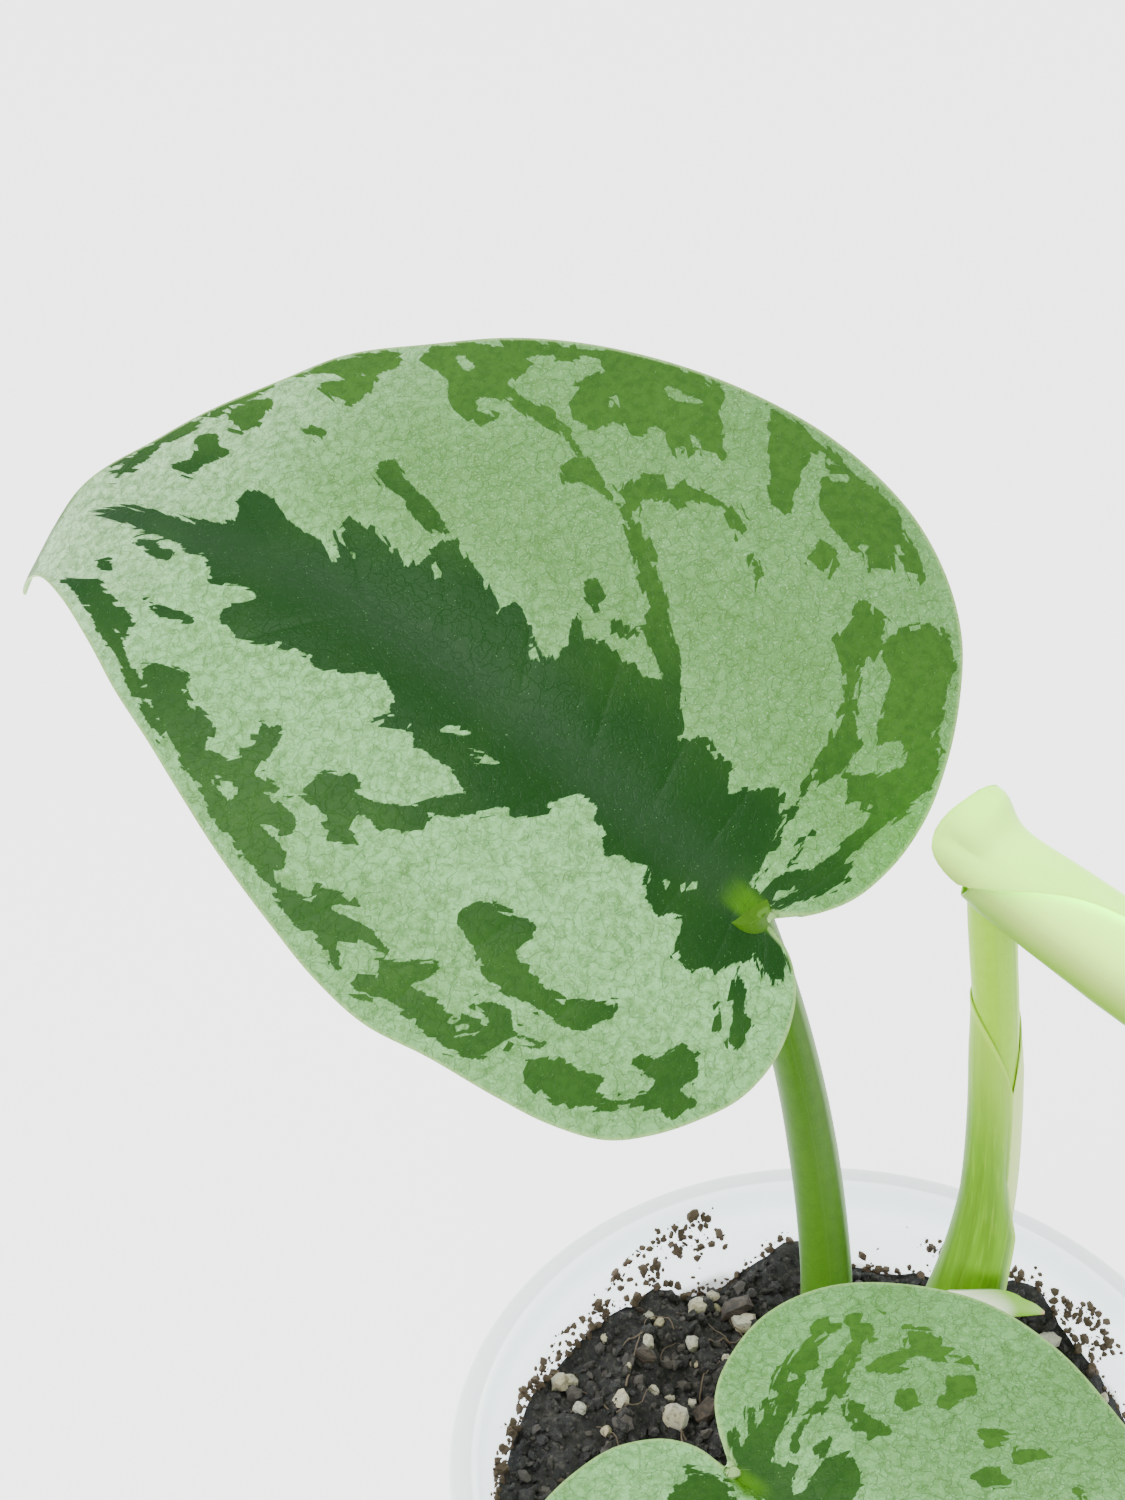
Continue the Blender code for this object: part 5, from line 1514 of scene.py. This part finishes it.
def build_perlite():
    mix = chosen("mix")
    finish = Finish("perlite")
    place = finish.place()
    pores = finish.grain(place, 0.45 * MM, 4.0, 0.6)
    tone = finish.grain(place, 3.5 * MM, 1.0)
    shown = finish.mix(tone.rise(0.35, 0.7), mix.perlite, screen(186, 172, 142))
    shown = finish.mix(pores.fall(0.36, 0.5) * 0.55, shown, mix.peat_light)
    finish.set(base_color=shown, roughness=0.8, normal=finish.bump(pores, 0.3 * MM, 0.8))
    draw = random.Random(21)
    places, sizes = scattered(draw, mix.grains, (0.5 * MM, 1.5 * MM), 0.4)
    for column, row, radius in SHOWN_GRAINS:
        x, y, _ = photo_place(column, row, mix.level + 1.5 * MM)
        reach = min(1.0, (inner_wall(mix.level) - 1.5 * MM) / math.hypot(x, y))
        x, y = x * reach, y * reach
        places.append((x, y, mix_height(x, y) + 0.45 * radius * MM))
        sizes.append(radius * MM)
    settle(lumps("perlite_grains", places, sizes, finish, 2, 0.2, 0.6, 22), "potting_mix")


def build_bark():
    mix = chosen("mix")
    finish = Finish("bark")
    fine = finish.grain(finish.stretch(finish.place(), (1.0, 1.0, 3.0)), 0.8 * MM, 4.0)
    shown = finish.mix(fine.rise(0.35, 0.7), darkened(mix.bark, 0.35), mix.bark)
    finish.set(base_color=shown, roughness=0.75, normal=finish.bump(fine, 0.3 * MM, 0.8))
    places, sizes = scattered(random.Random(31), mix.chips, (0.8 * MM, 2.6 * MM), 0.45)
    settle(lumps("bark_chips", places, sizes, finish, 1, 0.22, 0.16, 32), "potting_mix")


def build_fibres():
    """Coir fibres and fine roots that lie on the mix in loose curves."""
    mix = chosen("mix")
    draw = random.Random(41)
    sides, steps = 5, 12
    turn = np.linspace(0, 2 * math.pi, sides, endpoint=False)
    points, faces = [], []
    for _ in range(mix.fibres):
        reach = (inner_wall(LOOSE_REACH_HEIGHT) - 5 * MM) * math.sqrt(draw.uniform(0, 1))
        start, heading = draw.uniform(0, 2 * math.pi), draw.uniform(0, 2 * math.pi)
        x, y = reach * math.cos(start), reach * math.sin(start)
        step, bend = draw.uniform(0.25, 0.9) * MM, draw.uniform(-0.25, 0.25)
        lift, path = draw.uniform(0.1, 1.1) * MM, []
        for number in range(steps):
            arch = lift * math.sin(math.pi * number / (steps - 1))
            if math.hypot(x, y) < inner_wall(LOOSE_REACH_HEIGHT) - 1.5 * MM:
                path.append((x, y, mix_height(x, y) + 0.3 * MM + arch))
            heading += bend + draw.uniform(-0.2, 0.2)
            x, y = x + step * math.cos(heading), y + step * math.sin(heading)
        if len(path) < 4:
            continue
        radii = np.linspace(1.0, 0.5, len(path)) * draw.uniform(0.07, 0.16) * MM
        rings, _ = stalk_rings(np.array(path), radii, sides, 0.0)
        faces += tube_faces(len(points) + np.arange(rings.shape[0] * sides).reshape(-1, sides))
        points += rings.reshape(-1, 3).tolist()
    finish = plain_finish("coir", mix.fibre, 0.7, 0.4 * MM, 0.05 * MM)
    settle(add_piece("coir_fibres", points, faces, [finish]), "potting_mix")


def add_lamp(name, place, target, size, power):
    light = bpy.data.lights.new(name, "AREA")
    light.shape = "DISK"
    light.size = size
    light.energy = power
    lamp = bpy.data.objects.new(name, light)
    lamp.location = place
    lamp.rotation_euler = (Vector(target) - Vector(place)).to_track_quat("-Z", "Y").to_euler()
    bpy.context.scene.collection.objects.link(lamp)


def build_floor(stage):
    half = stage.floor_size / 2
    finish = Finish("pale_floor")
    finish.set(base_color=stage.floor, roughness=0.9, emission_color=(1.0, 1.0, 1.0), emission_strength=stage.glow)
    corners = [(-half, -half, 0), (half, -half, 0), (half, half, 0), (-half, half, 0)]
    add_piece("floor", corners, [[0, 1, 2, 3]], [finish])


def build_world(stage):
    world = bpy.data.worlds.new("soft_light")
    world.use_nodes = True
    background = world.node_tree.nodes["Background"]
    background.inputs["Color"].default_value = (1, 1, 1, 1)
    background.inputs["Strength"].default_value = stage.sky
    bpy.context.scene.world = world


def build_camera(stage):
    data = bpy.data.cameras.new("camera")
    data.lens = stage.lens
    data.sensor_width = stage.sensor
    data.clip_start = 0.01
    camera = bpy.data.objects.new("camera", data)
    camera.location = stage.eye
    camera.rotation_euler = (math.pi / 2 - stage.pitch, 0, 0)
    bpy.context.scene.collection.objects.link(camera)
    bpy.context.scene.camera = camera


class POTHOS_OT_stage(bpy.types.Operator):
    """Adds the floor, the soft lights and the camera."""

    bl_idname = "pothos.stage"
    bl_label = "Stage"

    def execute(self, context):
        stage = context.scene.pothos_stage
        build_floor(stage)
        build_world(stage)
        build_camera(stage)
        for name, place, target, size, share in LAMPS:
            add_lamp(name, place, target, size, stage.lamp * share)
        return {"FINISHED"}


class POTHOS_OT_pot(bpy.types.Operator):
    """Adds the milky nursery pot."""

    bl_idname = "pothos.pot"
    bl_label = "Pot"

    def execute(self, context):
        build_pot()
        return {"FINISHED"}


class POTHOS_OT_mix(bpy.types.Operator):
    """Adds the potting mix with its crumbs, perlite, bark and fibres."""

    bl_idname = "pothos.mix"
    bl_label = "Potting mix"

    def execute(self, context):
        peat = peat_finish(context.scene.pothos_mix)
        build_mix_body(peat)
        build_crumbs(peat)
        build_wall_crumbs(plain_finish("dry_peat", context.scene.pothos_mix.stuck, 0.85, 0.4 * MM, 0.1 * MM))
        build_perlite()
        build_bark()
        build_fibres()
        return {"FINISHED"}


class POTHOS_OT_stalks(bpy.types.Operator):
    """Adds the vine and the stalks of the three leaves."""

    bl_idname = "pothos.stalks"
    bl_label = "Vine and stalks"

    def execute(self, context):
        stalk = context.scene.pothos_stalk
        green = stalk_finish("stalk_green", stalk.green, stalk.light, 0.8)
        young = stalk_finish("young_green", stalk.young, stalk.margin, 0.9)
        build_vine()
        build_stalk("large_stalk", "large_leaf_stalk", LARGE_STALK_PATH, LARGE_STALK_RADII, green, "stalk_green")
        build_stalk("small_stalk", "small_leaf_stalk", SMALL_STALK_PATH, SMALL_STALK_RADII, green, "stalk_green")
        build_stalk("new_stalk", "new_leaf_stalk", NEW_STALK_PATH, NEW_STALK_RADII, young, "young_green")
        return {"FINISHED"}


class POTHOS_OT_leaves(bpy.types.Operator):
    """Adds the large and the small satin leaf."""

    bl_idname = "pothos.leaves"
    bl_label = "Satin leaves"

    def execute(self, context):
        build_leaf("large_blade", "large_leaf", (LARGE_RIGHT_EDGE, LARGE_LEFT_EDGE, LARGE_TIP), LARGE_POSE,
                   (LARGE_DARK, LARGE_LIGHT), LARGE_SHADING, 1)
        build_leaf("small_blade", "small_leaf", (SMALL_RIGHT_EDGE, SMALL_LEFT_EDGE, SMALL_TIP), SMALL_POSE,
                   (SMALL_DARK, SMALL_LIGHT), SMALL_SHADING, 2)
        return {"FINISHED"}


class POTHOS_OT_new_leaf(bpy.types.Operator):
    """Adds the rolled new leaf, its sheath and the bract."""

    bl_idname = "pothos.new_leaf"
    bl_label = "New leaf"

    def execute(self, context):
        build_roll()
        build_sheath()
        build_bract()
        return {"FINISHED"}


class POTHOS_PT_panel(bpy.types.Panel):
    """Buttons for each group of pieces, with their sizes and colours below."""

    bl_idname = "POTHOS_PT_panel"
    bl_label = "Satin Pothos"
    bl_space_type = "VIEW_3D"
    bl_region_type = "UI"
    bl_category = "Pothos"

    def draw(self, context):
        for operator in OPERATORS:
            self.layout.operator(operator.bl_idname)
        for title, group in SETTINGS.items():
            box = self.layout.box()
            box.label(text=group.__doc__)
            for name in group.__annotations__:
                box.prop(getattr(context.scene, title), name)


SETTINGS = {
    "pothos_stage": StageSettings,
    "pothos_pot": PotSettings,
    "pothos_mix": MixSettings,
    "pothos_stalk": StalkSettings,
    "pothos_leaf": LeafSettings,
    "pothos_roll": RollSettings,
}
OPERATORS = (POTHOS_OT_stage, POTHOS_OT_pot, POTHOS_OT_mix, POTHOS_OT_stalks, POTHOS_OT_leaves, POTHOS_OT_new_leaf)


def register():
    for title, group in SETTINGS.items():
        bpy.utils.register_class(group)
        setattr(bpy.types.Scene, title, PointerProperty(type=group))
    for operator in OPERATORS:
        bpy.utils.register_class(operator)
    bpy.utils.register_class(POTHOS_PT_panel)


def unregister():
    bpy.utils.unregister_class(POTHOS_PT_panel)
    for operator in reversed(OPERATORS):
        bpy.utils.unregister_class(operator)
    for title, group in reversed(SETTINGS.items()):
        delattr(bpy.types.Scene, title)
        bpy.utils.unregister_class(group)


def main():
    register()
    for operator in (bpy.ops.pothos.stage, bpy.ops.pothos.pot, bpy.ops.pothos.mix, bpy.ops.pothos.stalks,
                     bpy.ops.pothos.leaves, bpy.ops.pothos.new_leaf):
        operator()


if __name__ == "__main__":
    main()
